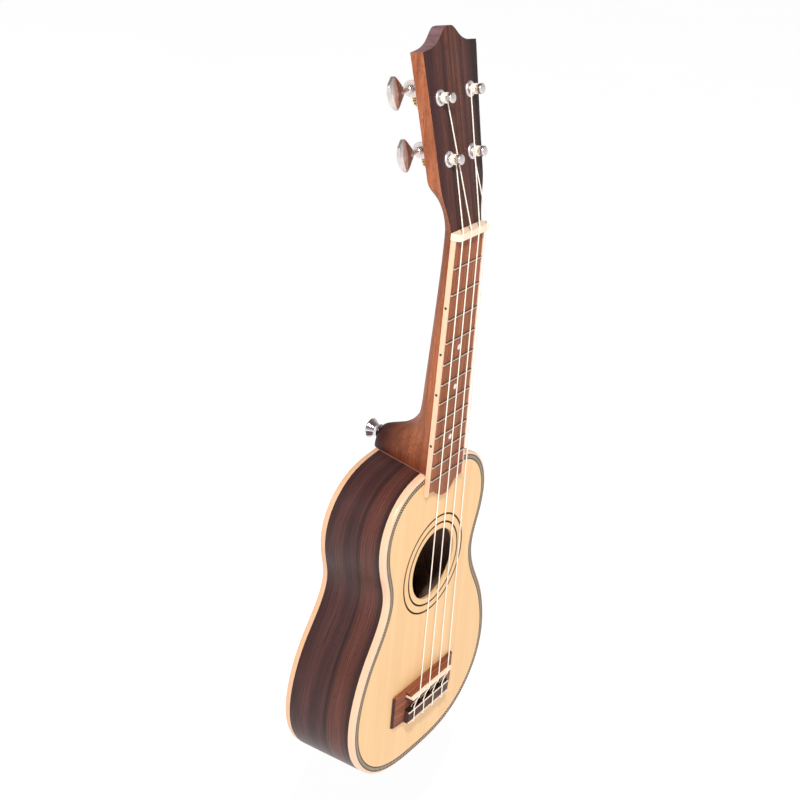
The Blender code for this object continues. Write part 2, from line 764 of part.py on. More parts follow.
# ---------------------------------------------------------------- tuning machines

def worm_frame(x, s, side):
    """Local Z runs outwards along the worm, local X up the headstock."""
    place = HEAD @ Matrix.Translation((x * MM, (s + WORM_OFFSET) * MM, -WORM_DEPTH * MM))
    axes = Matrix(((0, 0, side, 0), (1, 0, 0, 0), (0, side, 0, 0), (0, 0, 0, 1)))
    return place @ axes


def build_tuner(name, x, s, side):
    post_frame = HEAD @ Matrix.Translation((x * MM, s * MM, 0))
    worm = worm_frame(x, s, side)

    bushing = [(3.3, 1.4), (4.8, 1.4), (5.3, 0.9), (5.3, 0.3), (4.35, 0.3), (4.35, -5.0),
               (3.3, -5.0)]
    turned("tuner_bushing_" + name, bushing, post_frame, "nickel", 16, ring=True)

    post = [(0, POST_HIGH), (3.1, POST_HIGH), (3.8, POST_HIGH - 0.6), (3.8, 7.9), (3.1, 7.4),
            (2.5, 6.9), (POST_WAIST_R, 6.2), (POST_WAIST_R, -19.0), (0, -19.0)]
    body = turned("tuner_post_" + name, post, post_frame, "nickel", 12)
    teeth = []
    for i in range(GEAR_TEETH):
        for part, radius in ((0.0, 3.5), (0.28, 3.5), (0.42, GEAR_R), (0.86, GEAR_R)):
            a = 2 * math.pi * (i + part) / GEAR_TEETH
            teeth.append((radius * math.cos(a), radius * math.sin(a)))
    gear = plate("gear_" + name, [teeth], 14.4, 17.4, post_frame, None)
    boolean(body, gear, "UNION")

    hole = circle(0, 0, 3.3, 16)
    base = [(-8.6, -5.5), (-7.4, -7.0), (7.4, -7.0), (8.6, -5.5), (8.6, 12.5), (7.4, 14.0),
            (-7.4, 14.0), (-8.6, 12.5)]
    base_plate = plate("tuner_plate_" + name, [base, hole], HEAD_THICK + GAP,
                       HEAD_THICK + GAP + 1.2, post_frame, "nickel")
    reach = WORM_DEPTH - HEAD_THICK - GAP - 0.6
    for where, at in (("outer", 7.4), ("inner", -7.4)):
        lug = [(5.4 * math.cos(a), 5.4 * math.sin(a))
               for a in np.linspace(-math.pi, 0, 9)]
        lug += [(5.4, reach), (-5.4, reach)]
        if side < 0:
            lug = [(px, -py) for px, py in lug]
        bm = curve_bmesh([lug, circle(0, 0, 1.8, 12)], 0.6)
        bmesh.ops.translate(bm, verts=bm.verts, vec=(0, 0, at))
        piece = add_mesh("lug_%s_%s" % (where, name), bm, worm, None)
        boolean(base_plate, piece, "UNION")

    shaft = [(0, BUTTON_INNER + 6), (2.1, BUTTON_INNER + 6), (2.1, BUTTON_INNER + 1),
             (1.7, BUTTON_INNER - 1), (1.45, 11.2), (3.6, 10.6), (3.6, 8.6), (1.5, 8.3),
             (1.5, 6.4), (WORM_R, 6.0), (WORM_R, -6.0), (1.5, -6.4), (1.5, -9.4), (0, -9.4)]
    stem = turned("tuner_button_" + name, shaft, worm, "nickel", 12)
    thick = BUTTON_THICK / 2
    facets = [(BUTTON_INNER, 2.0, 1.7), (BUTTON_WIDEST - 0.7, BUTTON_SPAN - 0.5, thick),
              (BUTTON_WIDEST + 0.5, BUTTON_SPAN, thick), (BUTTON_OUTER - 0.9, 6.0, 0.8 * thick),
              (BUTTON_OUTER, 4.6, 0.5 * thick)]
    sections = [[(a, 0.55 * b, out), (0, b, out), (-a, 0.55 * b, out), (-a, -0.55 * b, out),
                 (0, -b, out), (a, -0.55 * b, out)] for out, a, b in facets]
    wing = loft("wing_" + name, sections, None, frame=worm, sharp=12)
    boolean(stem, wing, "UNION")


# ---------------------------------------------------------------- strap button

STRAP_Y = 57.2
STRAP_Z = -161.0
BODY_FRAME_STRAP = (Matrix.Translation((0, STRAP_Y * MM, STRAP_Z * MM))
                    @ Matrix.Rotation(-math.pi / 2, 4, "X"))


def build_strap_button():
    """Local Z points out of the back of the heel."""
    profile = [(3.9, 8.2), (7.0, 8.2), (7.4, 7.6), (7.2, 6.8), (5.2, 4.4), (4.0, 2.4),
               (3.9, 1.2), (4.4, 0.3), (2.3, 0.3), (2.3, 5.0), (3.9, 5.6)]
    turned("strap_button", profile, BODY_FRAME_STRAP, "chrome", 20, ring=True)
    screw = [(0, 7.6), (2.4, 7.3), (3.5, 6.4), (3.5, 6.0), (1.6, 5.2), (1.6, -14), (0, -15.5)]
    turned("strap_screw", screw, BODY_FRAME_STRAP, "chrome", 12)


def build():
    outline = body_outline()
    build_soundboard(outline)
    build_bindings(outline)
    build_ribs(outline)
    build_back(outline)
    build_inside(outline)
    build_neck(outline)
    build_veneer()
    build_fingerboard()
    build_nut()
    build_bridge()
    build_strings()
    for place in tuner_places():
        build_tuner(*place)
    build_strap_button()


clear_scene()
PARTS = collection("ukulele")
CUTTERS = collection("cutters")
build()
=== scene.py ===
"""Looks of the soprano ukulele: smooth visible pieces and procedural materials.

Positions are in millimetres in the part's own frame (X to the treble side, Y from
front to back, Z up the neck, origin at the nut), and become metres in the meshes.
"""
from math import copysign, cos, pi, radians, sin, sqrt, tan

import bmesh
import bpy
import numpy as np
from mathutils import Matrix, Vector


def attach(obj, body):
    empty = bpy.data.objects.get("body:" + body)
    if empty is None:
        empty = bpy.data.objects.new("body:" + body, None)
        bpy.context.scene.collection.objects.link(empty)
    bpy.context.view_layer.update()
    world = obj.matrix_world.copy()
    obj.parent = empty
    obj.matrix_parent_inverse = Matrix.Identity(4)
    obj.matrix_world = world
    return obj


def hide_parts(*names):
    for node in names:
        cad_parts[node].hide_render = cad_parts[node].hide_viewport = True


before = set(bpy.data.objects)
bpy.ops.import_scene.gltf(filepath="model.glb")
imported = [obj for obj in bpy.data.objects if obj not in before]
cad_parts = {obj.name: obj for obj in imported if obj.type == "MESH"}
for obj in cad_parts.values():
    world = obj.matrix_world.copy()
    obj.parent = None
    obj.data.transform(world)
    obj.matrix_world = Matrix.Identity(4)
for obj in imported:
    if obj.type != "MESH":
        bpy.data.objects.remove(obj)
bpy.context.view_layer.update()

MM = 0.001
SCENE = bpy.context.scene.collection

# the same driving sizes as the CAD
SCALE_LENGTH = 346.0
BOARD_HALF_NUT = 16.95
BOARD_HALF_JOIN = 21.1
BOARD_EDGE = 1.65
BOARD_BACK = 3.47
BOARD_SHOULDER_Z = -181.8
BOARD_TONGUE = 8.6
TOP_Y = 3.5
TOP_THICK = 2.2
OUTLINE_COUNT = 360
OUTLINE_HALF = [(0.0, -412.6), (28.9, -411.0), (55.4, -402.6), (73.9, -387.5),
                (84.2, -370.5), (88.4, -349.0), (84.9, -323.4), (74.8, -298.4),
                (62.2, -276.8), (56.6, -255.9), (62.6, -233.7), (65.9, -209.1),
                (58.6, -188.6), (43.9, -175.3), (23.0, -169.1), (0.0, -167.6)]
BODY_TOP_Z = -167.6
BODY_LENGTH = 245.0
BINDING_WIDE = 2.4
PURFLING_END = 6.3
BACK_THICK = 2.4
BACK_RISE = 3.4
BACK_RUN = 60.0
HOLE_Z = -248.9
HOLE_R = 27.05
ROSETTE_R = (31.9, 38.0)
HEAD_TILT = radians(12.13)
HEAD_Y = 2.72
HEAD_Z = 3.0
HEAD_THICK = 10.5
VENEER_SHOWN = 0.7
NUT_BACK_Z = 4.7
CROWN_S = 116.8
CROWN_RISE = 12.8
CROWN_HALF = 11.0
NECK_TOP_Y = 3.5
NECK_DEPTH = [(-178, 57.3), (-160, 57.1), (-155, 55.3), (-151.5, 50.0), (-149, 41.2),
              (-147, 37.2), (-144.5, 33.0), (-141, 29.1), (-136.5, 25.7), (-131, 22.2),
              (-124, 20.6), (-110, 20.0), (-88, 18.7), (-60, 17.0), (-34, 15.6),
              (-12, 14.7), (4, 14.6), (14, 15.8), (24, 17.9)]
BRIDGE_BACK_Z = -370.4
BLOCK_HALF = 27.0
SADDLE_Z = -347.4
SADDLE_HIGH = 10.0
TIE_HIGH = 7.6
TIE_FRONT_Z = -360.0
TIE_HOLE_HIGH = 4.4
STRING_R = 0.42
STRING_PITCH_NUT = 10.15
STRING_PITCH_SADDLE = 12.72
STRING_NUT_Y = -3.5
POST_AXES = {"upper": (17.8, 87.5), "lower": (14.1, 48.3)}
POST_HIGH = 10.2
POST_WAIST_R = 2.9
WORM_OFFSET = 7.1
WORM_DEPTH = 16.0
BUTTON_INNER = 16.6
STRAP_Y = 57.2
STRAP_Z = -161.0

# details of the visual model only
FLAT_ANGLE = 0.02
POST_BORE_R = 4.6
SADDLE_WIDEN = 1.2
TIE_STRIP_HALF = 0.6
TIE_SHIFT = 1.9
FRETS = range(1, 13)
FRET_HALF = 0.72
FRET_RISE = 1.15
FRET_STEPS = 13
FRET_ENDS = ((0.0, 0.25), (0.12, 0.62), (0.4, 0.88), (0.9, 1.0))
# faces on the nut-side foot of each fret crown painted dark: painted shade and reflection
FRET_SHADE_FACES = 3
BOARD_DOTS = (5, 7, 10)
SIDE_DOTS = (3, 5, 7, 10)
ROSETTE_HALF = 0.7
GEAR_TEETH = 14
COIL_TURNS = 3.4
COIL_STEPS = 90
WORM_PITCH = 2.1
WORM_HALF = 5.9
WORM_STEPS = 120
BUTTON_SHADE_END = 26.4
SCREW_FACE_OUT = 2.0

# studio and camera, in metres
CAMERA_PLACE = (-0.8414, -0.4738, 0.3252)
CAMERA_FORWARD = (0.7733, 0.4747, -0.4203)
CAMERA_UP = (0.3133, 0.2902, 0.9042)
CAMERA_LENS = 70.36
FLOOR_HALF = 30.0
FLOOR_Z = -0.62
FLOOR_GLOW = 0.84
SKY = ((0.0, 0.63), (0.30, 0.59), (0.75, 0.20), (1.0, 0.14))
LIGHT_AIM = (0.0, 0.02, -0.22)
LIGHTS = (("key", (-1.04, -0.635, 1.21), 0.12, 31.5), ("front", (0.6, -2.2, 0.3), 1.4, 3),
          ("rim", (-1.2, 1.3, 0.6), 0.9, 3))

HEAD = (Matrix.Translation((0.0, HEAD_Y * MM, HEAD_Z * MM))
        @ Matrix.Rotation(pi / 2 - HEAD_TILT, 4, "X"))
BODY = Matrix.Rotation(pi / 2, 4, "X")


# ---------------------------------------------------------------- node materials

class Paint:
    """A Principled material with short helpers for its procedural nodes."""

    def __init__(self, name, colour, rough, metal=0.0, **sockets):
        self.mat = bpy.data.materials.new(name)
        self.mat.use_nodes = True
        self.tree = self.mat.node_tree
        self.shader = self.tree.nodes["Principled BSDF"]
        self.put("Base Color", (*colour, 1.0))
        self.put("Roughness", rough)
        self.put("Metallic", metal)
        for key, value in sockets.items():
            self.put(key.replace("_", " "), value)
        self.mat.diffuse_color = (*colour, 1.0)

    def feed(self, socket, value):
        if isinstance(value, bpy.types.NodeSocket):
            self.tree.links.new(value, socket)
        else:
            socket.default_value = value

    def put(self, name, value):
        self.feed(self.shader.inputs[name], value)

    def node(self, kind, inputs=(), **props):
        made = self.tree.nodes.new("ShaderNode" + kind)
        for key, value in props.items():
            setattr(made, key, value)
        for key, value in dict(inputs).items():
            self.feed(made.inputs[key], value)
        return made

    def place(self, uv=False):
        return self.node("TexCoord").outputs["UV" if uv else "Object"]

    def parts(self, place):
        return self.node("SeparateXYZ", {0: place}).outputs

    def scaled(self, vector, scale, shift=(0, 0, 0)):
        made = self.node("Mapping", {"Vector": vector, "Scale": scale, "Location": shift})
        return made.outputs[0]

    def noise(self, vector, scale, detail=3.0, rough=0.5, warp=0.0):
        made = self.node("TexNoise", {"Vector": vector, "Scale": scale, "Detail": detail,
                                      "Roughness": rough, "Distortion": warp})
        return made.outputs["Fac"]

    def ramp(self, factor, stops):
        made = self.node("ValToRGB", {"Fac": factor})
        band = made.color_ramp
        while len(band.elements) < len(stops):
            band.elements.new(0.5)
        for element, (at, colour) in zip(band.elements, stops):
            element.position = at
            if not isinstance(colour, tuple):
                colour = (colour,) * 3
            element.color = (*colour, 1.0)
        return made.outputs["Color"]

    def mix(self, factor, one, two, mode="MIX"):
        made = self.node("Mix", data_type="RGBA", blend_type=mode)
        for index, value in ((0, factor), (6, one), (7, two)):
            full = (*value, 1.0) if isinstance(value, tuple) else value
            self.feed(made.inputs[index], full)
        return made.outputs[2]

    def math(self, operation, one, two=0.0):
        made = self.node("Math", {0: one, 1: two}, operation=operation)
        return made.outputs[0]

    def span(self, value, low, high, to_low=0.0, to_high=1.0):
        made = self.node("MapRange", {"Value": value, "From Min": low, "From Max": high,
                                      "To Min": to_low, "To Max": to_high})
        return made.outputs[0]

    def bump(self, height, distance):
        made = self.node("Bump", {"Height": height, "Distance": distance, "Strength": 1.0})
        self.put("Normal", made.outputs[0])


def toned(colour, level):
    return tuple(level * c for c in colour)


def stretched(along, short, long, flat=None):
    """Mapping scale that draws streaks out along one axis, flat being a second one."""
    scale = [1.0 / (short * MM)] * 3
    scale[along] = 1.0 / (long * MM)
    if flat is not None:
        scale[flat] = 1.0 / (long * MM)
    return scale


def wood(name, along, tones, stripe, line, pore, rough, coat=0.0, uv=False, shift=0.0,
         line_dark=0.35, pore_dark=0.5, warp=1.0, mirror=False, bump=0.00004, flat=None,
         bands=None, shades=(), gloss=0.25):
    """Wood with broad stripes, fine growth lines and short open pores.

    stripe, line and pore are their widths in millimetres, tones the ramp of colours.
    bands lays the ramp once over a width, as (axis, from, to, sway); each shade
    darkens the wood towards one end, as (axis, from, to, colour): a change of tone,
    and on the mahogany heel painted shade.
    """
    paint = Paint(name, tones[len(tones) // 2][1], rough, Coat_Weight=coat,
                  Coat_Roughness=0.12, Specular_IOR_Level=gloss)
    place = paint.place(uv)
    if mirror:
        x, y, z = paint.parts(place)
        joined = paint.node("CombineXYZ", {0: paint.math("ABSOLUTE", x), 1: y, 2: z})
        place = joined.outputs[0]
    start = (shift, shift * 0.7, shift * 1.3)
    sway = paint.noise(paint.scaled(place, stretched(along, 30, 90), start), 1.0, 2)
    sway = paint.math("MULTIPLY", paint.math("SUBTRACT", sway, 0.5), warp)

    def layer(width, length, detail, roughness, bend):
        vector = paint.scaled(place, stretched(along, width, length, flat), start)
        bent = paint.node("VectorMath", {0: vector, 1: (0, 0, 0)})
        push = paint.math("MULTIPLY", sway, bend / width)
        both = paint.node("CombineXYZ", {0: push, 1: push, 2: push})
        paint.tree.links.new(both.outputs[0], bent.inputs[1])
        return paint.noise(bent.outputs[0], 1.0, detail, roughness)

    broad = layer(stripe, stripe * 40, 3, 0.55, 12.0)
    fine = layer(line, line * 150, 2, 0.6, 12.0)
    dots = layer(pore, pore * 16, 2, 0.5, 0.0)
    if bands:
        axis, low, high, loose = bands
        run = paint.span(paint.parts(place)[axis], low * MM, high * MM)
        drift = paint.math("MULTIPLY", paint.math("SUBTRACT", broad, 0.5), loose)
        colour = paint.ramp(paint.math("ADD", run, drift), tones)
    else:
        colour = paint.ramp(broad, tones)
    lines = paint.span(fine, 0.40, 0.66)
    colour = paint.mix(paint.math("MULTIPLY", lines, line_dark), colour,
                       toned(tones[0][1], 0.35))
    holes = paint.span(dots, 0.60, 0.70)
    colour = paint.mix(paint.math("MULTIPLY", holes, pore_dark), colour,
                       toned(tones[0][1], 0.25))
    for axis, low, high, dark in shades:
        run = paint.span(paint.parts(place)[axis], low * MM, high * MM)
        colour = paint.mix(run, colour, dark, "MULTIPLY")
    paint.put("Base Color", colour)
    paint.put("Roughness", paint.span(fine, 0.3, 0.7, rough - 0.06, rough + 0.08))
    height = paint.math("SUBTRACT", paint.math("MULTIPLY", fine, 0.4), holes)
    paint.bump(height, bump)
    return paint


def make_materials():
    made = {}
    made["spruce"] = wood("spruce", 2, [
        (0.30, (0.85, 0.520, 0.246)), (0.50, (0.88, 0.548, 0.264)), (0.72, (0.91, 0.580, 0.285))
    ], 9, 0.75, 0.25, 0.42, coat=0.1, line_dark=0.05, pore_dark=0.02, warp=0.25, mirror=True,
        bump=0.000004)
    made["side"] = wood("rosewood_sides", 0, [
        (0.00, (0.036, 0.012, 0.011)), (0.07, (0.075, 0.024, 0.019)),
        (0.16, (0.150, 0.046, 0.032)), (0.34, (0.130, 0.040, 0.029)),
        (0.40, (0.034, 0.012, 0.012)), (0.46, (0.085, 0.031, 0.028)),
        (0.60, (0.058, 0.021, 0.020)), (0.74, (0.105, 0.037, 0.032)),
        (1.00, (0.050, 0.018, 0.018))
    ], 6.5, 0.5, 0.3, 0.42, coat=0.06, uv=True, line_dark=0.7, pore_dark=0.8, warp=0.12,
        bands=(1, 0.0, 50.0, 0.16), bump=0.00002)
    made["back"] = wood("rosewood_back", 2, [
        (0.32, (0.040, 0.014, 0.013)), (0.45, (0.080, 0.027, 0.023)),
        (0.55, (0.130, 0.040, 0.029)), (0.70, (0.072, 0.025, 0.022))
    ], 8.0, 0.7, 0.35, 0.40, coat=0.08, mirror=True, shift=3.0, warp=0.3, flat=1,
        bump=0.00002)
    made["veneer"] = wood("rosewood_headstock", 2, [
        (0.00, (0.062, 0.024, 0.023)), (0.10, (0.082, 0.032, 0.029)),
        (0.18, (0.130, 0.050, 0.038)), (0.25, (0.100, 0.038, 0.030)),
        (0.29, (0.055, 0.022, 0.020)), (0.34, (0.100, 0.036, 0.029)),
        (0.40, (0.165, 0.058, 0.040)), (0.46, (0.090, 0.034, 0.026)),
        (0.51, (0.150, 0.054, 0.037)), (0.57, (0.110, 0.042, 0.031)),
        (0.63, (0.165, 0.062, 0.044)), (0.70, (0.080, 0.030, 0.026)),
        (0.77, (0.130, 0.050, 0.037)), (0.84, (0.075, 0.029, 0.026)),
        (0.92, (0.075, 0.030, 0.027)), (1.00, (0.030, 0.014, 0.014))
    ], 2.6, 0.45, 0.3, 0.52, shift=7.0, line_dark=0.7, pore_dark=1.0, warp=0.05, flat=1,
        bands=(0, -25.0, 25.0, 0.07), gloss=0.15)
    # crown cut: mauve-grey end grain, its tone partly painted sheen and shade of the upward-facing
    # faces
    made["crown"] = wood("crown_end_grain_and_shade", 1, [
        (0.35, (0.17, 0.088, 0.092)), (0.6, (0.24, 0.132, 0.138))
    ], 4.0, 0.6, 0.3, 0.50, shift=1.0, pore_dark=0.3)
    made["mahogany"] = wood("mahogany", 2, [
        (0.30, (0.34, 0.090, 0.030)), (0.50, (0.45, 0.130, 0.048)), (0.70, (0.54, 0.170, 0.066))
    ], 5.0, 0.45, 0.32, 0.46, coat=0.03, shift=2.0, line_dark=0.55, pore_dark=1.1, warp=0.3,
        # the first two shades darken the heel towards its cap and towards the body joint: painted
        # shade; the third darkens the neck towards the nut
        shades=((1, 16.0, 48.0, (0.15, 0.085, 0.10)), (2, -146.0, -168.0, (0.55, 0.40, 0.36)),
                (2, -90.0, -10.0, (0.62, 0.56, 0.53))))
    paint_joint_highlight(made["mahogany"])
    made["headstock"] = wood("mahogany_headstock", 2, [
        (0.30, (0.30, 0.086, 0.034)), (0.50, (0.43, 0.134, 0.058)), (0.70, (0.56, 0.190, 0.085))
    ], 5.0, 0.5, 0.42, 0.46, coat=0.03, shift=2.0, line_dark=0.5, pore_dark=1.0, warp=0.2,
        shades=((2, 32.0, 4.0, (0.66, 0.60, 0.57)),))
    made["board"] = wood("fingerboard_rosewood", 2, [
        (0.32, (0.27, 0.084, 0.030)), (0.44, (0.40, 0.118, 0.050)),
        (0.54, (0.31, 0.107, 0.038)), (0.68, (0.48, 0.148, 0.070))
    ], 4.0, 0.6, 0.3, 0.55, shift=5.0, line_dark=0.5, pore_dark=0.6, warp=0.1)
    made["bridge"] = wood("bridge_rosewood", 0, [
        (0.30, (0.15, 0.040, 0.018)), (0.50, (0.28, 0.082, 0.036)), (0.70, (0.38, 0.120, 0.056))
    ], 3.0, 0.55, 0.3, 0.50, shift=9.0, pore_dark=0.6, warp=0.2)
    for key, name, along, low, high, stripe, line, rough, shift in (
            ("bridge_end", "bridge_end_grain", 1, (0.045, 0.016, 0.014),
             (0.085, 0.032, 0.026), 2.0, 0.5, 0.55, 2.0),
            ("tie_top", "tie_block_top", 0, (0.060, 0.022, 0.015),
             (0.120, 0.045, 0.030), 2.0, 0.5, 0.50, 4.0),
            # near-black wood for the blocks, braces and bridge patch: painted shade of the body's
            # inside
            ("inner", "inner_wood", 2, (0.040, 0.018, 0.011),
             (0.070, 0.034, 0.020), 6.0, 0.8, 0.7, 4.0),
            ("rib_inner", "rib_inner_side", 2, (0.80, 0.540, 0.400),
             (0.86, 0.600, 0.450), 6.0, 0.8, 0.7, 4.0),
            ("lining", "lining_wood", 1, (0.62, 0.390, 0.270),
             (0.70, 0.460, 0.320), 4.0, 0.8, 0.7, 6.0)):
        made[key] = wood(name, along, [(0.30, low), (0.70, high)], stripe, line, 0.3, rough,
                         shift=shift)
    for key, colour in (("binding", (0.88, 0.545, 0.355)), ("back_binding", (0.78, 0.455, 0.26))):
        paint = Paint(key, colour, 0.32, Coat_Weight=0.2, Coat_Roughness=0.12,
                      Subsurface_Weight=0.06, Subsurface_Radius=(0.004, 0.002, 0.001),
                      Subsurface_Scale=0.5)
        cloud = paint.noise(paint.place(), 60.0, 3)
        paint.put("Base Color", paint.ramp(cloud, [(0.3, toned(colour, 0.96)), (0.7, colour)]))
        paint.put("Roughness", paint.span(cloud, 0.3, 0.7, 0.28, 0.38))
        paint.bump(paint.noise(paint.place(), 900.0, 2), 0.000005)
        made[key] = paint
    made["purfling"] = purfling_paint()
    rosette = Paint("rosette", (0.012, 0.006, 0.003), 0.7, Specular_IOR_Level=0.1)
    made["rosette"] = paint_streaks(rosette, (0.024, 0.010, 0.004), (0.045, 0.020, 0.008),
                                    700.0)
    bone = Paint("bone", (0.92, 0.72, 0.52), 0.45, Subsurface_Weight=0.06,
                 Subsurface_Radius=(0.003, 0.002, 0.001), Subsurface_Scale=0.5)
    paint_streaks(bone, (0.89, 0.67, 0.50), (0.94, 0.75, 0.58), 260.0)
    bone.bump(bone.noise(bone.place(), 1500.0, 2), 0.000006)
    made["bone"] = bone
    made["pearl"] = pearl_paint()
    black = Paint("side_dot", (0.012, 0.010, 0.010), 0.35)
    made["dot"] = paint_streaks(black, (0.008, 0.007, 0.007), (0.02, 0.016, 0.015), 900.0)
    # dark band on the nut-side foot of each fret crown: painted shade and reflection
    slot = Paint("fret_slot", (0.05, 0.025, 0.018), 0.55)
    made["slot"] = paint_streaks(slot, (0.035, 0.018, 0.012), (0.07, 0.035, 0.025), 900.0)
    made["nylon"] = Paint("nylon", (0.94, 0.83, 0.72), 0.35, Subsurface_Weight=0.2,
                          Subsurface_Radius=(0.002, 0.0015, 0.001), Subsurface_Scale=0.4,
                          Coat_Weight=0.3)
    paint_streaks(made["nylon"], (0.92, 0.80, 0.68), (0.97, 0.87, 0.77), 500.0)
    for key, colour, rough in (("nickel", (0.80, 0.72, 0.69), 0.32),
                               ("shaded_nickel", (0.40, 0.31, 0.28), 0.34),
                               ("washer", (0.88, 0.83, 0.86), 0.42),
                               ("chrome", (0.78, 0.74, 0.78), 0.10),
                               ("fret", (0.80, 0.68, 0.58), 0.34),
                               ("brass", (0.55, 0.34, 0.10), 0.30)):
        metal = Paint(key, colour, rough, 1.0)
        place = metal.place()
        cloud = metal.noise(place, 420.0, 4)
        scratch = metal.noise(metal.scaled(place, (300, 2600, 2600)), 1.0, 2)
        metal.put("Base Color", metal.ramp(cloud, [(0.3, toned(colour, 0.88)), (0.65, colour)]))
        metal.put("Roughness", metal.span(cloud, 0.3, 0.75, rough * 0.8, rough * 1.3))
        metal.bump(scratch, 0.000001)
        made[key] = metal
    made["knob"] = knob_paint()
    return made


def paint_joint_highlight(paint):
    """Pale line just above the body's top outline, where the heel meets the ribs: a painted
    highlight on the joint's edge.
    """
    parts = paint.parts(paint.place())
    across = paint.math("DIVIDE", parts[0], 23.0 * MM)
    bend = paint.math("MULTIPLY", paint.math("MULTIPLY", across, across), 1.5 * MM)
    above = paint.math("ADD", paint.math("ADD", parts[2], -BODY_TOP_Z * MM), bend)
    line = paint.math("LESS_THAN", above, 0.42 * MM)
    base = paint.shader.inputs["Base Color"].links[0].from_socket
    # pale colour laid over the wood along that line: painted highlight
    paint.put("Base Color", paint.mix(line, base, (0.42, 0.26, 0.25)))


def knob_paint():
    """Chrome with painted reflections: dark and light streaks fan out from the strap button's
    axis.
    """
    paint = Paint("polished_knob", (0.75, 0.70, 0.74), 0.12, 1.0)
    parts = paint.parts(paint.place())
    up = paint.math("SUBTRACT", parts[2], STRAP_Z * MM)
    turn = paint.math("ARCTAN2", up, parts[0])
    ring = paint.node("CombineXYZ", {0: paint.math("COSINE", turn),
                                     1: paint.math("SINE", turn)})
    fan = paint.noise(ring.outputs[0], 2.6, 2, 0.6)
    paint.put("Base Color", paint.ramp(fan, [(0.36, (0.10, 0.07, 0.08)),
                                             (0.43, (0.80, 0.68, 0.74)),
                                             (0.52, (0.98, 0.93, 0.96)),
                                             (0.57, (0.20, 0.15, 0.17)),
                                             (0.62, (0.90, 0.80, 0.85))]))
    return paint


def paint_streaks(paint, low, high, scale):
    cloud = paint.noise(paint.place(), scale, 4, 0.6)
    paint.put("Base Color", paint.ramp(cloud, [(0.35, low), (0.65, high)]))
    return paint


def purfling_paint():
    """Slanted rope between two dark lines, laid out along the strip's own length."""
    paint = Paint("purfling", (0.12, 0.10, 0.06), 0.45, Coat_Weight=0.1)
    along, across, _ = paint.parts(paint.place(uv=True))
    slant = paint.math("ADD", along, paint.math("MULTIPLY", across, 0.55))
    turn = paint.math("FRACT", paint.math("DIVIDE", slant, 2.1 * MM))
    rope = paint.ramp(turn, [(0.0, (0.012, 0.006, 0.003)), (0.56, (0.015, 0.008, 0.004)),
                             (0.62, (0.62, 0.44, 0.25)), (0.92, (0.70, 0.50, 0.29)),
                             (1.0, (0.010, 0.007, 0.005))])
    edge = paint.math("ABSOLUTE", paint.math("SUBTRACT", across, 1.95 * MM))
    lines = paint.span(edge, 0.98 * MM, 1.02 * MM)
    paint.put("Base Color", paint.mix(lines, rope, (0.014, 0.008, 0.005)))
    return paint


def pearl_paint():
    paint = Paint("pearl", (0.80, 0.80, 0.78), 0.16, Coat_Weight=0.6, Coat_Roughness=0.05)
    cloud = paint.noise(paint.place(), 700.0, 3, 0.6, 1.6)
    paint.put("Base Color", paint.ramp(cloud, [(0.3, (0.55, 0.60, 0.60)),
                                               (0.5, (0.84, 0.80, 0.76)),
                                               (0.7, (0.70, 0.66, 0.74))]))
    paint.bump(cloud, 0.00002)
    return paint


# ---------------------------------------------------------------- mesh helpers

def moved(x, y, z):
    return Matrix.Translation((x * MM, y * MM, z * MM))


def finish_piece(obj, paint, body="body", nodes=()):
    obj.data.materials.clear()
    for each in paint if isinstance(paint, list) else [paint]:
        obj.data.materials.append(PAINTS[each].mat)
    if not obj.users_collection:
        SCENE.objects.link(obj)
    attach(obj, body)
    if nodes:
        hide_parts(*nodes)
    return obj


def linked(name, data):
    obj = bpy.data.objects.new(name, data)
    SCENE.objects.link(obj)
    return obj


def smooth_mesh(mesh, sharp):
    mesh.shade_smooth()
    mesh.set_sharp_from_angle(angle=radians(sharp))


def from_bmesh(name, bm, sharp=35.0, frame_of=None, merge=0.0):
    """Object from a bmesh in millimetres, its mesh moved into the part's frame."""
    if merge:
        bmesh.ops.remove_doubles(bm, verts=bm.verts, dist=merge)
    bmesh.ops.recalc_face_normals(bm, faces=bm.faces)
    mesh = bpy.data.meshes.new(name)
    bm.to_mesh(mesh)
    bm.free()
    mesh.transform((frame_of or Matrix.Identity(4)) @ Matrix.Scale(MM, 4))
    smooth_mesh(mesh, sharp)
    return linked(name, mesh)


def grid(name, rows, loop=False, ring=False, caps=False, uv=None, sharp=35.0,
         frame_of=None, merge=0.0):
    """Skin over rows of points. loop joins last row to first, ring closes each row."""
    rows = np.asarray(rows, float)
    count, width = rows.shape[:2]
    bm = bmesh.new()
    verts = [[bm.verts.new(p) for p in row] for row in rows]
    layer = bm.loops.layers.uv.new("UVMap")
    for i in range(count if loop else count - 1):
        for j in range(width if ring else width - 1):
            i2, j2 = (i + 1) % count, (j + 1) % width
            face = bm.faces.new((verts[i][j], verts[i][j2], verts[i2][j2], verts[i2][j]))
            if uv is not None:
                us, vs = uv
                marks = ((i, j), (i, j + 1), (i + 1, j + 1), (i + 1, j))
                for spot, (a, b) in zip(face.loops, marks):
                    spot[layer].uv = (us[a] * MM, vs[b] * MM)
    if caps:
        for row, at in ((verts[0], 0), (verts[-1], count - 1)):
            face = bm.faces.new(row)
            if uv is not None:
                for j, spot in enumerate(face.loops):
                    spot[layer].uv = (uv[0][at] * MM, uv[1][j] * MM)
    return from_bmesh(name, bm, sharp, frame_of, merge)


def lathe(name, profile, frame_of, steps=48, sharp=35.0):
    """Closed solid of revolution about local Z from (radius, height) points."""
    angles = np.arange(steps) * 2 * pi / steps
    rows = [[(r * cos(a), r * sin(a), z) for r, z in profile] for a in angles]
    closed = profile[0][0] > 0.001
    return grid(name, rows, loop=True, ring=closed, sharp=sharp, frame_of=frame_of,
                merge=0.0005)


def add_path(data, path, closed):
    spline = data.splines.new("POLY")
    spline.points.add(len(path) - 1)
    for point, co in zip(spline.points, path):
        point.co = (*co, 1.0)
    spline.use_cyclic_u = closed


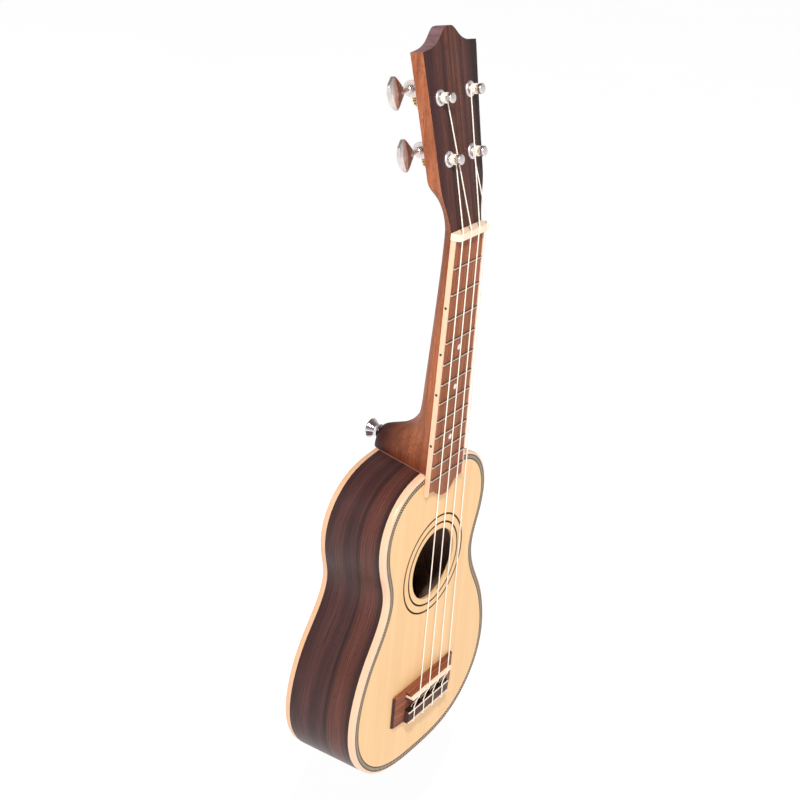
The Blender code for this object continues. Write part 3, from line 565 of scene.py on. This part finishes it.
def plate(name, loops, front, back, frame_of, edge=0.0, sharp=35.0, steps=2):
    """Flat outline between two depths, with softly rounded edges."""
    data = bpy.data.curves.new(name, "CURVE")
    data.dimensions = "2D"
    data.fill_mode = "BOTH"
    data.extrude = (back - front) / 2 - edge
    data.bevel_depth = edge
    data.bevel_resolution = steps
    data.offset = -edge
    for points in loops:
        add_path(data, [(x, y, 0.0) for x, y in points], True)
    return solid_from_curve(name, data, frame_of @ moved(0, 0, -(front + back) / 2), sharp)


def solid_from_curve(name, data, frame_of, sharp=35.0):
    obj = linked(name, data)
    graph = bpy.context.evaluated_depsgraph_get()
    mesh = bpy.data.meshes.new_from_object(obj.evaluated_get(graph))
    bpy.data.objects.remove(obj)
    bpy.data.curves.remove(data)
    bm = bmesh.new()
    bm.from_mesh(mesh)
    bpy.data.meshes.remove(mesh)
    return from_bmesh(name, bm, sharp, frame_of, merge=0.002)


def tube(name, path, radius, sides=12):
    """Round wire through the points, ends filled, bends smoothed by short steps."""
    data = bpy.data.curves.new(name, "CURVE")
    data.dimensions = "3D"
    data.bevel_depth = radius
    data.bevel_resolution = max(1, sides // 2 - 2)
    data.use_fill_caps = True
    add_path(data, path, False)
    return solid_from_curve(name, data, Matrix.Identity(4), 50)


def rounded_path(points, radius):
    """Replace every corner of a path by a short curve."""
    points = [Vector(p) for p in points]
    out = [points[0]]
    for before, here, after in zip(points[:-2], points[1:-1], points[2:]):
        reach = min(radius, (here - before).length * 0.45, (after - here).length * 0.45)
        start = here + (before - here).normalized() * reach
        end = here + (after - here).normalized() * reach
        for t in np.linspace(0, 1, 6).tolist():
            out.append(start * (1 - t) ** 2 + here * 2 * t * (1 - t) + end * t * t)
    return out + [points[-1]]


def refined(node, name, edge, segments=2, sharp=35.0, split=False):
    """Copy of a CAD node with its flat faces joined and its edges rounded."""
    bm = bmesh.new()
    bm.from_mesh(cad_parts[node].data)
    bmesh.ops.scale(bm, verts=bm.verts, vec=(1000,) * 3)
    bmesh.ops.remove_doubles(bm, verts=bm.verts, dist=0.002)
    bmesh.ops.dissolve_limit(bm, angle_limit=FLAT_ANGLE, verts=bm.verts, edges=bm.edges)
    if split:
        bmesh.ops.triangulate(bm, faces=[face for face in bm.faces if len(face.verts) > 4])
    obj = from_bmesh(name, bm, sharp)
    return bevelled(obj, edge, segments, sharp)


def bevelled(obj, edge, segments=2, sharp=35.0):
    if edge > 0:
        mod = obj.modifiers.new("edge", "BEVEL")
        mod.width = edge * MM
        mod.segments = segments
        mod.limit_method = "ANGLE"
        mod.angle_limit = radians(sharp)
        mod.use_clamp_overlap = True
        applied(obj)
        smooth_mesh(obj.data, sharp + 8)
    return obj


def applied(obj):
    graph = bpy.context.evaluated_depsgraph_get()
    mesh = bpy.data.meshes.new_from_object(obj.evaluated_get(graph))
    obj.modifiers.clear()
    obj.data = mesh


def cut(obj, cutter):
    mod = obj.modifiers.new("cut", "BOOLEAN")
    mod.operation = "DIFFERENCE"
    mod.solver = "EXACT"
    mod.object = cutter
    applied(obj)
    bpy.data.objects.remove(cutter)


def circle(cx, cy, radius, count=64):
    step = 2 * pi / count
    return [(cx + radius * cos(i * step), cy + radius * sin(i * step))
            for i in range(count)]


def smooth(value, low, high):
    t = min(1.0, max(0.0, (value - low) / (high - low)))
    return t * t * (3 - 2 * t)


# ---------------------------------------------------------------- body outline

def closed_spline(points, count):
    p = np.array(points, float)
    n = len(p)
    h = np.linalg.norm(np.roll(p, -1, axis=0) - p, axis=1)
    system = np.zeros((n, n))
    right = np.zeros((n, 2))
    for i in range(n):
        j = (i + 1) % n
        system[i, i - 1] += h[i - 1]
        system[i, i] += 2 * (h[i - 1] + h[i])
        system[i, j] += h[i]
        right[i] = 6 * ((p[j] - p[i]) / h[i] - (p[i] - p[i - 1]) / h[i - 1])
    bend = np.linalg.solve(system, right)
    dense = []
    for i in range(n):
        j = (i + 1) % n
        for u in np.linspace(0, 1, 40, endpoint=False):
            a = 1 - u
            curve = (a ** 3 - a) * bend[i] + (u ** 3 - u) * bend[j]
            dense.append(a * p[i] + u * p[j] + curve * h[i] ** 2 / 6)
    dense = np.array(dense + [dense[0]])
    run = np.concatenate([[0], np.cumsum(np.linalg.norm(np.diff(dense, axis=0), axis=1))])
    at = np.linspace(0, run[-1], count, endpoint=False)
    around = np.stack([np.interp(at, run, dense[:, 0]), np.interp(at, run, dense[:, 1])], 1)
    return around, np.append(at, run[-1])


def inset(distance):
    along = np.roll(OUTLINE, -1, axis=0) - np.roll(OUTLINE, 1, axis=0)
    along /= np.linalg.norm(along, axis=1)[:, None]
    return OUTLINE + np.stack([-along[:, 1], along[:, 0]], 1) * distance


def back_edge_y(z):
    t = (BODY_TOP_Z - z) / BODY_LENGTH
    return 53.0 + 26.5 * t - 16.0 * t * t


def rail(name, profile, paint, nodes, stations=None):
    """Strip run round the body, with its own length and breadth as UV."""
    closed = stations is None
    stations = list(range(OUTLINE_COUNT)) if closed else stations
    insets = {}
    rows = []
    for i in stations:
        row = []
        for distance, depth in profile(OUTLINE[i][1]):
            if distance not in insets:
                insets[distance] = inset(distance)
            x, z = insets[distance][i]
            row.append((x, depth, z))
        rows.append(row)
    sample = np.array(profile(-300.0))
    steps = np.linalg.norm(np.diff(np.vstack([sample, sample[:1]]), axis=0), axis=1)
    across = np.concatenate([[0], np.cumsum(steps)])
    if closed:
        along = RUN
    else:
        along = np.array([RUN[i] if i >= 0 else RUN[-1] - RUN[i + OUTLINE_COUNT]
                          for i in stations])
    obj = grid(name, rows, loop=closed, ring=True, caps=not closed, uv=(along, across),
               sharp=40)
    return finish_piece(obj, paint, nodes=nodes)


def build_body():
    slim = 0.12
    wide = BINDING_WIDE

    def corner(y, radius, way):
        return [(slim + radius - radius * sin(a), y + way * (radius - radius * cos(a)))
                for a in np.linspace(0, pi / 2, 8)]

    def front(_):
        return [(wide, TOP_Y), *corner(TOP_Y, 2.0, 1), (slim, 8.25), (wide, 8.25)]

    def back(z):
        y = back_edge_y(z)
        return [(wide, y), *corner(y, 1.7, -1), (slim, y - 4.55), (wide, y - 4.55)]

    def purfling(_):
        return [(wide, TOP_Y), (PURFLING_END, TOP_Y), (PURFLING_END, TOP_Y + 1.0),
                (wide, TOP_Y + 1.0)]

    def rib(z):
        return [(slim, 8.25), (slim, back_edge_y(z) - 4.55), (2.2, back_edge_y(z) - 4.55),
                (2.2, 8.25)]

    rail("front_binding", front, "binding", ["binding_front"])
    rail("rear_binding", back, "back_binding", ["binding_back"])
    rail("rope_purfling", purfling, "purfling", ["purfling"])
    half = OUTLINE_COUNT // 2
    for name, way in (("right", 1), ("left", -1)):
        obj = rail("rib_" + name, rib, ["side", "rib_inner"], ["side_" + name],
                   [way * i for i in range(half + 1)])
        for number, face in enumerate(obj.data.polygons):
            face.material_index = int(number % 4 == 2)

    edge = inset(PURFLING_END).tolist()
    top = plate("top_plate", [edge, circle(0, HOLE_Z, HOLE_R, 128)], TOP_Y,
                TOP_Y + TOP_THICK, BODY)
    finish_piece(top, "spruce", nodes=["soundboard"])
    for radius, part in zip(ROSETTE_R, ("inner", "outer")):
        low, top = radius - ROSETTE_HALF, radius + ROSETTE_HALF
        ring = [(top, 0.0), (top, -0.5), (low, -0.5), (low, 0.0)]
        place = moved(0, TOP_Y - 0.03, HOLE_Z) @ BODY
        obj = lathe("rosette_ring_" + part, ring, place, 160)
        finish_piece(obj, "rosette", nodes=["rosette_" + part])
    build_back()


def back_y(points, edge):
    """Arched back surface over (x, z) points."""
    a, b = edge, np.roll(edge, -1, axis=0)
    ab = b - a
    near = []
    for p in points:
        ap = p - a
        t = np.clip((ap * ab).sum(1) / (ab * ab).sum(1), 0, 1)
        near.append(np.linalg.norm(ap - t[:, None] * ab, axis=1).min())
    d = np.minimum(np.array(near), BACK_RUN)
    rise = BACK_RISE * (1 - (1 - d / BACK_RUN) ** 2)
    return np.array([back_edge_y(z) for z in points[:, 1]]) + rise


def build_back():
    edge = inset(BINDING_WIDE)
    middle = np.stack([np.zeros(OUTLINE_COUNT), np.clip(edge[:, 1], -372, -206)], 1)
    outer, inner = [], []
    for k in np.linspace(0, 1, 15):
        flat = edge * (1 - k) + middle * k
        y = back_y(flat, OUTLINE)
        outer.append(np.stack([flat[:, 0], y, flat[:, 1]], 1))
        inner.append(np.stack([flat[:, 0], y - BACK_THICK, flat[:, 1]], 1))
    rows = outer[::-1] + inner
    obj = grid("arched_back", rows, ring=True, merge=0.01)
    finish_piece(obj, "back", nodes=["back"])


# ---------------------------------------------------------------- neck and headstock

def board_half(z):
    return BOARD_HALF_NUT + (BOARD_HALF_JOIN - BOARD_HALF_NUT) * (-z / (SCALE_LENGTH / 2))


def head_half(z):
    s = (z - HEAD_Z) / cos(HEAD_TILT) / 100
    return 24.12 + 3.776 * s + 1.877 * s * s


def neck_half(z):
    if z <= 0:
        return board_half(z) + BOARD_EDGE
    start = board_half(0) + BOARD_EDGE
    return start + (head_half(z) - start) * smooth(z, 4, 36)


def head_face_y(z, depth):
    return HEAD_Y + (z - HEAD_Z) * tan(HEAD_TILT) + depth / cos(HEAD_TILT)


def neck_back_y(z):
    keys = [k for k, _ in NECK_DEPTH]
    values = [v for _, v in NECK_DEPTH]

    def raw(at):
        if at > 24:
            return head_face_y(at, HEAD_THICK)
        return float(np.interp(at, keys, values))
    reach = 2.2 if z < -130 else 6.0
    return sum(raw(z + reach * k / 4) for k in range(-4, 5)) / 9


def neck_section(z, front_y):
    count = 56
    heel = smooth(-z, 122.5, 150)
    slab = smooth(z, 14, 36)
    power = 2 + 23 * smooth(-z, 155.5, 168)
    taper = 0.51 * heel
    back = neck_back_y(z)
    half = neck_half(z)
    chamfer = 0.5
    turn = count // 2 - 8
    points = []
    for j in range(count + 1):
        v = sin(pi * j / count)
        wide = half * (1 - taper * v) * sqrt(max(0.0, 1 - v ** power))
        deep = (back - front_y) * v
        step = min(j, count - j)
        if step < turn:
            flat_wide, flat_deep = half, (back - front_y - chamfer) * step / (turn - 1)
        else:
            flat_wide = (half - chamfer) * (count // 2 - step) / 8
            flat_deep = back - front_y
        wide += (flat_wide - wide) * slab
        deep += (flat_deep - deep) * slab
        x = 0.0 if 2 * j == count else copysign(wide, j - count / 2)
        points.append((x, front_y + deep, z))
    return points


def crown_s(x):
    return CROWN_S + CROWN_RISE / (1 + (abs(x) / CROWN_HALF) ** 3)


def tuner_places():
    places = []
    for level, (x, s) in POST_AXES.items():
        for side, tag in ((-1, "left"), (1, "right")):
            places.append(("%s_%s" % (level, tag), side * x, s, side))
    return places


def build_neck():
    heights = np.concatenate([np.linspace(-178, -156, 8), np.linspace(-154, -124, 26),
                              np.linspace(-120, NUT_BACK_Z, 24)])
    rows = [neck_section(z, NECK_TOP_Y) for z in heights]
    heights = np.concatenate([np.linspace(NUT_BACK_Z + 0.1, 36, 16), np.linspace(44, 137, 12)])
    rows += [neck_section(z, head_face_y(z, VENEER_SHOWN + 0.02)) for z in heights]
    neck = grid("neck_and_heel", rows, ring=True, caps=True, sharp=40)
    cut(neck, plate("body_cut", [inset(-0.02).tolist()], -5, 80, BODY))
    wide = np.linspace(-36, 36, 97)
    crown = [(x, crown_s(x)) for x in wide] + [(36, 150), (-36, 150)]
    cut(neck, plate("crown_cut", [crown], -6, 24, HEAD))
    for _, x, s, _ in tuner_places():
        cut(neck, plate("hole", [circle(x, s, POST_BORE_R, 32)], -6, 24, HEAD))
    finish_piece(neck, ["mahogany", "crown", "headstock"], nodes=["neck"])
    smooth_mesh(neck.data, 40)
    up = Vector((0, sin(HEAD_TILT), cos(HEAD_TILT)))
    for face in neck.data.polygons:
        s = face.center.z / MM
        # upward-facing crown faces take the crown material: end grain with painted sheen and shade
        if s > 108 and face.normal.dot(up) > 0.2:
            face.material_index = 1
        elif s > NUT_BACK_Z:
            face.material_index = 2


def build_veneer():
    low = (NUT_BACK_Z + 0.15 - HEAD_Z) / cos(HEAD_TILT)
    ups = np.concatenate([np.linspace(low, 36, 18), np.linspace(46, 114, 8)])
    right = [(neck_half(HEAD_Z + s * cos(HEAD_TILT)), s) for s in ups]
    top = [(x, crown_s(x)) for x in np.linspace(30.8, -30.8, 97)]
    left = [(-x, s) for x, s in reversed(right)]
    obj = plate("headstock_face", [right + top + left], 0, VENEER_SHOWN, HEAD, 0.15)
    finish_piece(obj, "veneer", nodes=["headstock_veneer"])


def tongue_z(x):
    return BOARD_SHOULDER_Z - BOARD_TONGUE / (1 + (abs(x) / 9.5) ** 4)


def fret_z(number):
    return -SCALE_LENGTH * (1 - 2 ** (-number / 12))


def build_board():
    end = board_half(BOARD_SHOULDER_Z)
    tongue = [(x, tongue_z(x)) for x in np.linspace(-end, end, 81)]
    loop = tongue + [(board_half(0), -0.05), (-board_half(0), -0.05)]
    board = plate("rosewood_board", [loop], 0.02, BOARD_BACK, BODY, 0.1)
    finish_piece(board, "board", nodes=["fingerboard"])
    for side, name in ((-1, "left"), (1, "right")):
        low, high = board_half(0), board_half(BOARD_SHOULDER_Z)
        loop = [(side * low, -0.05), (side * (low + BOARD_EDGE), -0.05),
                (side * (high + BOARD_EDGE), BOARD_SHOULDER_Z - 3.0),
                (side * high, BOARD_SHOULDER_Z - 0.3)]
        strip = plate("board_binding_" + name, [loop], 0.0, BOARD_BACK, BODY, 0.28, steps=3)
        finish_piece(strip, "binding", nodes=["fingerboard_binding_" + name])
    for n in FRETS:
        half = board_half(fret_z(n)) - 0.05
        rows = []
        ends = [(-half + step, lift) for step, lift in FRET_ENDS]
        for x, lift in ends + [(-x, lift) for x, lift in ends[::-1]]:
            rows.append([(x, 0.1 - FRET_RISE * lift * sin(a), fret_z(n) + FRET_HALF * cos(a))
                         for a in np.linspace(0, pi, FRET_STEPS)])
        obj = grid("fret_crown_%02d" % n, rows, ring=True, caps=True, sharp=50)
        finish_piece(obj, ["fret", "slot"], nodes=["fret_%02d" % n])
        # the first faces of each ring, the nut-side foot of the crown, take the dark slot material
        # as painted shade and reflection
        for number, face in enumerate(obj.data.polygons[:7 * FRET_STEPS]):
            face.material_index = int(number % FRET_STEPS < FRET_SHADE_FACES)
    for n in BOARD_DOTS:
        z = (fret_z(n) + fret_z(n - 1)) / 2
        place = moved(0, -0.005, z) @ BODY
        obj = lathe("pearl_dot_%02d" % n, [(0, 0.03), (1.95, 0.03), (2.0, -0.5), (0, -0.5)],
                    place, 40)
        finish_piece(obj, "pearl")
    for n in SIDE_DOTS:
        z = (fret_z(n) + fret_z(n - 1)) / 2
        x = -(board_half(z) + BOARD_EDGE)
        place = moved(x, 1.75, z) @ Matrix.Rotation(-pi / 2, 4, "Y")
        obj = lathe("side_dot_%02d" % n, [(0, 0.03), (0.95, 0.03), (1.0, -0.6), (0, -0.6)],
                    place, 32)
        finish_piece(obj, "dot")


# ---------------------------------------------------------------- bridge and strings

def high(h):
    return TOP_Y - h


def string_x(number, pitch):
    return (number - 1.5) * pitch


def build_bridge():
    obj = refined("bridge", "tie_bridge", 0.35, 2, 30)
    finish_piece(obj, ["bridge", "bridge_end", "tie_top", "dot"],
                 nodes=["bridge"])
    for face in obj.data.polygons:
        rise, z = TOP_Y - face.center.y / MM, face.center.z / MM
        inside = rise < TIE_HIGH - 0.3 and abs(face.center.x) < BLOCK_HALF * MM
        # the tie block's front face inside the channel behind the saddle takes the black dot
        # material: painted shadow
        if inside and abs(z - TIE_FRONT_Z) < 0.4:
            face.material_index = 3
        elif face.normal.x < -0.6:
            face.material_index = 1
        elif z < TIE_FRONT_Z and rise > TIE_HIGH - 0.4:
            face.material_index = 2
    obj = refined("saddle", "bone_saddle", 0.0)
    front = max(v.co.z for v in obj.data.vertices)
    for v in obj.data.vertices:
        v.co.z = front + SADDLE_WIDEN * (v.co.z - front)
    bevelled(obj, 0.4, 3)
    finish_piece(obj, "bone", nodes=["saddle"])
    obj = refined("nut", "bone_nut", 0.9, 4)
    finish_piece(obj, "bone", nodes=["nut"])
    for name, z in (("front", TIE_FRONT_Z - 0.75), ("rear", BRIDGE_BACK_Z + 1.15)):
        half, low, top = BLOCK_HALF + 0.1, z - TIE_STRIP_HALF, z + TIE_STRIP_HALF
        low = [(-half, low), (half, low), (half, top), (-half, top)]
        strip = plate("tie_strip_" + name, [low], high(TIE_HIGH + 0.35), high(TIE_HIGH - 0.6),
                      BODY, 0.2)
        finish_piece(strip, "bone")


def build_strings():
    crest = high(SADDLE_HIGH) - STRING_R - 0.02
    for n, name in enumerate(("g", "c", "e", "a")):
        side = -1 if n < 2 else 1
        level = "lower" if n in (0, 3) else "upper"
        px, ps = POST_AXES[level]
        end = HEAD @ Vector((side * (px - POST_WAIST_R - STRING_R) * MM, ps * MM, 3.0 * MM))
        end = end / MM
        xs, xn = string_x(n, STRING_PITCH_SADDLE), string_x(n, STRING_PITCH_NUT)
        hole = high(TIE_HOLE_HIGH)
        top = high(TIE_HIGH + 0.35) - STRING_R
        path = [(xs, hole + 0.3, TIE_FRONT_Z - 5), (xs, hole, TIE_FRONT_Z + 0.8),
                (xs, crest, SADDLE_Z - 1.2), (xs, crest, SADDLE_Z + 0.9),
                (xn, STRING_NUT_Y, -0.4), (xn, STRING_NUT_Y, NUT_BACK_Z + 0.4), tuple(end)]
        obj = tube("string_line_" + name, rounded_path(path, 0.8), STRING_R)
        finish_piece(obj, "nylon", nodes=["string_" + name])
        xt = xs - TIE_SHIFT
        loop = [(xs, hole, BRIDGE_BACK_Z + 3), (xs, hole, BRIDGE_BACK_Z - 0.3),
                (xt, hole + 0.2, BRIDGE_BACK_Z - 0.3), (xt, top + 0.3, BRIDGE_BACK_Z - 0.2),
                (xt, top, BRIDGE_BACK_Z + 0.6), (xt, top, TIE_FRONT_Z - 0.4),
                (xt + 0.1, top + 0.9, TIE_FRONT_Z + 0.6), (xt + 0.3, top + 0.6, TIE_FRONT_Z + 2.4),
                (xs - 1.15, crest + 1.4, SADDLE_Z - 4.4), (xs - 1.15, crest + 1.0, SADDLE_Z - 3.4)]
        obj = tube("tie_loop_" + name, rounded_path(loop, 0.7), STRING_R * 0.95)
        finish_piece(obj, "nylon")


# ---------------------------------------------------------------- tuning machines

def worm_frame(x, s, side):
    place = HEAD @ moved(x, s + WORM_OFFSET, -WORM_DEPTH)
    axes = Matrix(((0, 0, side, 0), (1, 0, 0, 0), (0, side, 0, 0), (0, 0, 0, 1)))
    return place @ axes


def build_tuner(name, x, s, side):
    post_body, button_body = "post_" + name, "button_" + name
    post_frame = HEAD @ moved(x, s, 0)
    worm = worm_frame(x, s, side)

    bush = [(3.15, 1.35), (3.6, 1.45), (4.4, 1.4), (4.95, 1.15), (5.25, 0.75), (5.3, 0.4),
            (5.3, 0.05), (4.35, 0.05), (4.35, -5.0), (3.15, -5.0)]
    obj = lathe("washer_" + name, bush, post_frame, 56)
    finish_piece(obj, "washer", nodes=["tuner_bushing_" + name])

    top = POST_HIGH - 0.02
    post = [(0, top), (2.4, top), (3.0, top - 0.15), (3.35, top - 0.5), (3.45, top - 1.0),
            (3.45, 8.2), (3.3, 7.75), (2.9, 7.3), (2.6, 6.95), (2.5, 6.4), (2.55, 5.2),
            (2.6, 1.8), (2.9, 1.2), (2.9, -19.0), (0, -19.0)]
    obj = lathe("post_" + name, post, post_frame, 48)
    finish_piece(obj, "nickel", post_body, ["tuner_post_" + name])
    outline = []
    for i in range(GEAR_TEETH):
        for part, radius in ((0.0, 4.2), (0.26, 4.2), (0.42, 5.15), (0.66, 5.15), (0.82, 4.2)):
            a = 2 * pi * (i + part) / GEAR_TEETH
            outline.append((radius * cos(a), radius * sin(a)))
    obj = plate("gear_" + name, [outline], 14.5, 17.3, post_frame, 0.12, 30)
    finish_piece(obj, "brass", post_body)
    turns = []
    for i in range(COIL_STEPS + 1):
        t = i / COIL_STEPS
        a = (pi if side > 0 else 0.0) + side * -2 * pi * COIL_TURNS * t
        r = (2.62 if t < 0.97 else 2.4) + STRING_R
        turns.append(post_frame @ Vector((r * cos(a) * MM, r * sin(a) * MM,
                                          (2.3 + 3.5 * t) * MM)) / MM)
    obj = tube("winding_" + name, turns, STRING_R, 10)
    finish_piece(obj, "nylon", post_body)

    obj = refined("tuner_plate_" + name, "base_plate_" + name, 0.2, 2, 30, split=True)
    finish_piece(obj, "nickel", nodes=["tuner_plate_" + name])
    for tag, dy in (("top", 11.6), ("base", -5.6)):
        screw = post_frame @ moved(side * 4.2, dy, -(HEAD_THICK + 1.5))
        screw = screw @ Matrix.Rotation(pi, 4, "X")
        obj = lathe("plate_screw_%s_%s" % (tag, name),
                    [(0, 1.0), (0.7, 0.9), (1.3, 0.55), (1.55, 0.0), (0, 0)], screw, 24)
        finish_piece(obj, "nickel")

    stem = [(0, 22.4), (2.1, 22.4), (2.15, 17.8), (1.75, 15.6), (1.45, 13.0), (1.45, 11.3),
            (2.0, 11.1), (2.4, 10.7), (2.5, 10.3), (2.5, 8.9), (2.3, 8.65), (1.45, 8.3),
            (1.28, 6.1), (1.28, -6.1), (1.45, -6.3), (1.45, -9.3), (0, -9.3)]
    obj = lathe("button_stem_" + name, stem, worm, 36)
    finish_piece(obj, "nickel", button_body, ["tuner_button_" + name])
    rows = []
    for i in range(WORM_STEPS + 1):
        z = -WORM_HALF + 2 * WORM_HALF * i / WORM_STEPS
        row = []
        for j in range(24):
            a = 2 * pi * j / 24
            wave = cos(a - side * 2 * pi * z / WORM_PITCH)
            fade = min(1.0, (WORM_HALF - abs(z)) / 0.8)
            r = 1.3 + 0.28 * fade * (0.5 + 0.5 * wave)
            row.append((r * cos(a), r * sin(a), z))
        rows.append(row)
    obj = grid("worm_" + name, rows, ring=True, caps=True, sharp=60, frame_of=worm)
    finish_piece(obj, "nickel", button_body)
    build_button(name, worm, button_body)


def build_button(name, worm, body):
    """Keystone grip: facets fall from a ridge along its middle to thin ends."""
    thick = 2.28
    facets = [(BUTTON_INNER, 2.2, 1.7, 0.0), (22.8, 8.6, thick, 0.0), (24.8, 10.2, thick, 0.0),
              (26.8, 10.5, thick, 4.0), (31.3, 6.4, 0.8 * thick, 0.6),
              (32.3, 5.0, 0.5 * thick, 0.0)]
    rows = [[(a, 0.5 * b, z), (0, b, z + out), (-a, 0.5 * b, z), (-a, -0.5 * b, z),
             (0, -b, z + out), (a, -0.5 * b, z)] for z, a, b, out in facets]
    obj = grid("button_grip_" + name, rows, ring=True, caps=True, sharp=12, frame_of=worm)
    bevelled(obj, 0.3, 2, 12)
    finish_piece(obj, ["nickel", "shaded_nickel"], body)
    back = worm.inverted()
    for face in obj.data.polygons:
        if (back @ face.center).z < BUTTON_SHADE_END * MM:
            face.material_index = 1


# ---------------------------------------------------------------- strap button

def build_strap_button():
    place = moved(0, STRAP_Y, STRAP_Z) @ Matrix.Rotation(-pi / 2, 4, "X")
    profile = [(3.9, 8.1), (4.2, 8.18), (6.8, 8.18), (7.2, 7.9), (7.35, 7.5), (7.15, 6.8),
               (5.3, 4.2), (4.5, 2.4), (4.3, 1.4), (4.5, 0.7), (5.0, 0.2), (2.3, 0.2),
               (2.3, 5.0), (3.9, 5.6)]
    obj = lathe("strap_knob", profile, place, 64)
    finish_piece(obj, ["knob", "washer"], nodes=["strap_button"])
    for face in obj.data.polygons:
        face.material_index = int(face.center.y < (STRAP_Y + SCREW_FACE_OUT) * MM)
    head = [(0, 7.55), (1.6, 7.45), (2.6, 7.15), (3.3, 6.6), (3.45, 6.1), (1.6, 5.2),
            (1.6, -14), (0, -15.4)]
    obj = lathe("strap_screw_head", head, place, 40)
    for turn in (0, 90):
        slot = place @ Matrix.Rotation(radians(turn), 4, "Z")
        tool = plate("slot", [[(-1.6, -0.3), (1.6, -0.3), (1.6, 0.3), (-1.6, 0.3)]],
                     -9, -6.6, slot)
        cut(obj, tool)
    smooth_mesh(obj.data, 35)
    finish_piece(obj, "chrome", nodes=["strap_screw"])


def paint_inside():
    # blocks, braces and bridge patch take the near-black inner wood, painted shade of the body's
    # inside
    for node in ("lining_front", "lining_back", "neck_block", "tail_block", "top_brace_upper",
                 "top_brace_lower", "bridge_patch", "back_brace_upper", "back_brace_lower"):
        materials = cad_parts[node].data.materials
        materials.clear()
        materials.append(PAINTS["lining" if node.startswith("lining") else "inner"].mat)


# ---------------------------------------------------------------- studio

def area_light(name, place, size, power):
    data = bpy.data.lights.new(name, "AREA")
    data.shape = "DISK"
    data.size = size
    data.energy = power
    obj = linked(name, data)
    obj.location = place
    obj.rotation_euler = (Vector(LIGHT_AIM) - Vector(place)).to_track_quat("-Z", "Y").to_euler()


def build_studio():
    floor = bpy.data.meshes.new("floor")
    corners = ((-1, -1), (1, -1), (1, 1), (-1, 1))
    floor.from_pydata([(FLOOR_HALF * x, FLOOR_HALF * y, FLOOR_Z) for x, y in corners], [],
                      [(0, 1, 2, 3)])
    obj = linked("floor", floor)
    paint = Paint("floor_paint", (0.4, 0.4, 0.4), 0.9, Emission_Color=(1, 1, 1, 1),
                  Emission_Strength=FLOOR_GLOW)
    cloud = paint.noise(paint.place(), 3.0, 2)
    paint.put("Base Color", paint.ramp(cloud, [(0.3, (0.39, 0.39, 0.39)),
                                               (0.7, (0.41, 0.41, 0.41))]))
    floor.materials.append(paint.mat)

    world = bpy.context.scene.world or bpy.data.worlds.new("studio")
    bpy.context.scene.world = world
    world.use_nodes = True
    tree = world.node_tree
    parts = tree.nodes.new("ShaderNodeSeparateXYZ")
    tree.links.new(tree.nodes.new("ShaderNodeTexCoord").outputs["Generated"],
                   parts.inputs[0])
    ramp = tree.nodes.new("ShaderNodeValToRGB")
    for at, _ in SKY[1:-1]:
        ramp.color_ramp.elements.new(at)
    for element, (_, level) in zip(ramp.color_ramp.elements, SKY):
        element.color = (level, level, level, 1.0)
    tree.links.new(parts.outputs[2], ramp.inputs[0])
    tree.links.new(ramp.outputs[0], tree.nodes["Background"].inputs["Color"])
    tree.nodes["Background"].inputs["Strength"].default_value = 1.0
    for name, place, size, power in LIGHTS:
        area_light(name, place, size, power)
    bpy.context.scene.view_settings.view_transform = "Standard"


def build_camera():
    data = bpy.data.cameras.new("camera")
    data.lens = CAMERA_LENS
    data.sensor_width = 36.0
    data.clip_end = 100.0
    obj = linked("camera", data)
    forward = Vector(CAMERA_FORWARD).normalized()
    up = Vector(CAMERA_UP)
    up = (up - forward * up.dot(forward)).normalized()
    right = forward.cross(up)
    turn = Matrix((right, up, -forward)).transposed().to_4x4()
    obj.matrix_world = Matrix.Translation(CAMERA_PLACE) @ turn
    bpy.context.scene.camera = obj


build_camera()
PAINTS = make_materials()
OUTLINE, RUN = closed_spline(
    OUTLINE_HALF + [(-x, z) for x, z in OUTLINE_HALF[-2:0:-1]], OUTLINE_COUNT)
build_body()
build_neck()
build_veneer()
build_board()
build_bridge()
build_strings()
for place in tuner_places():
    build_tuner(*place)
build_strap_button()
paint_inside()
build_studio()
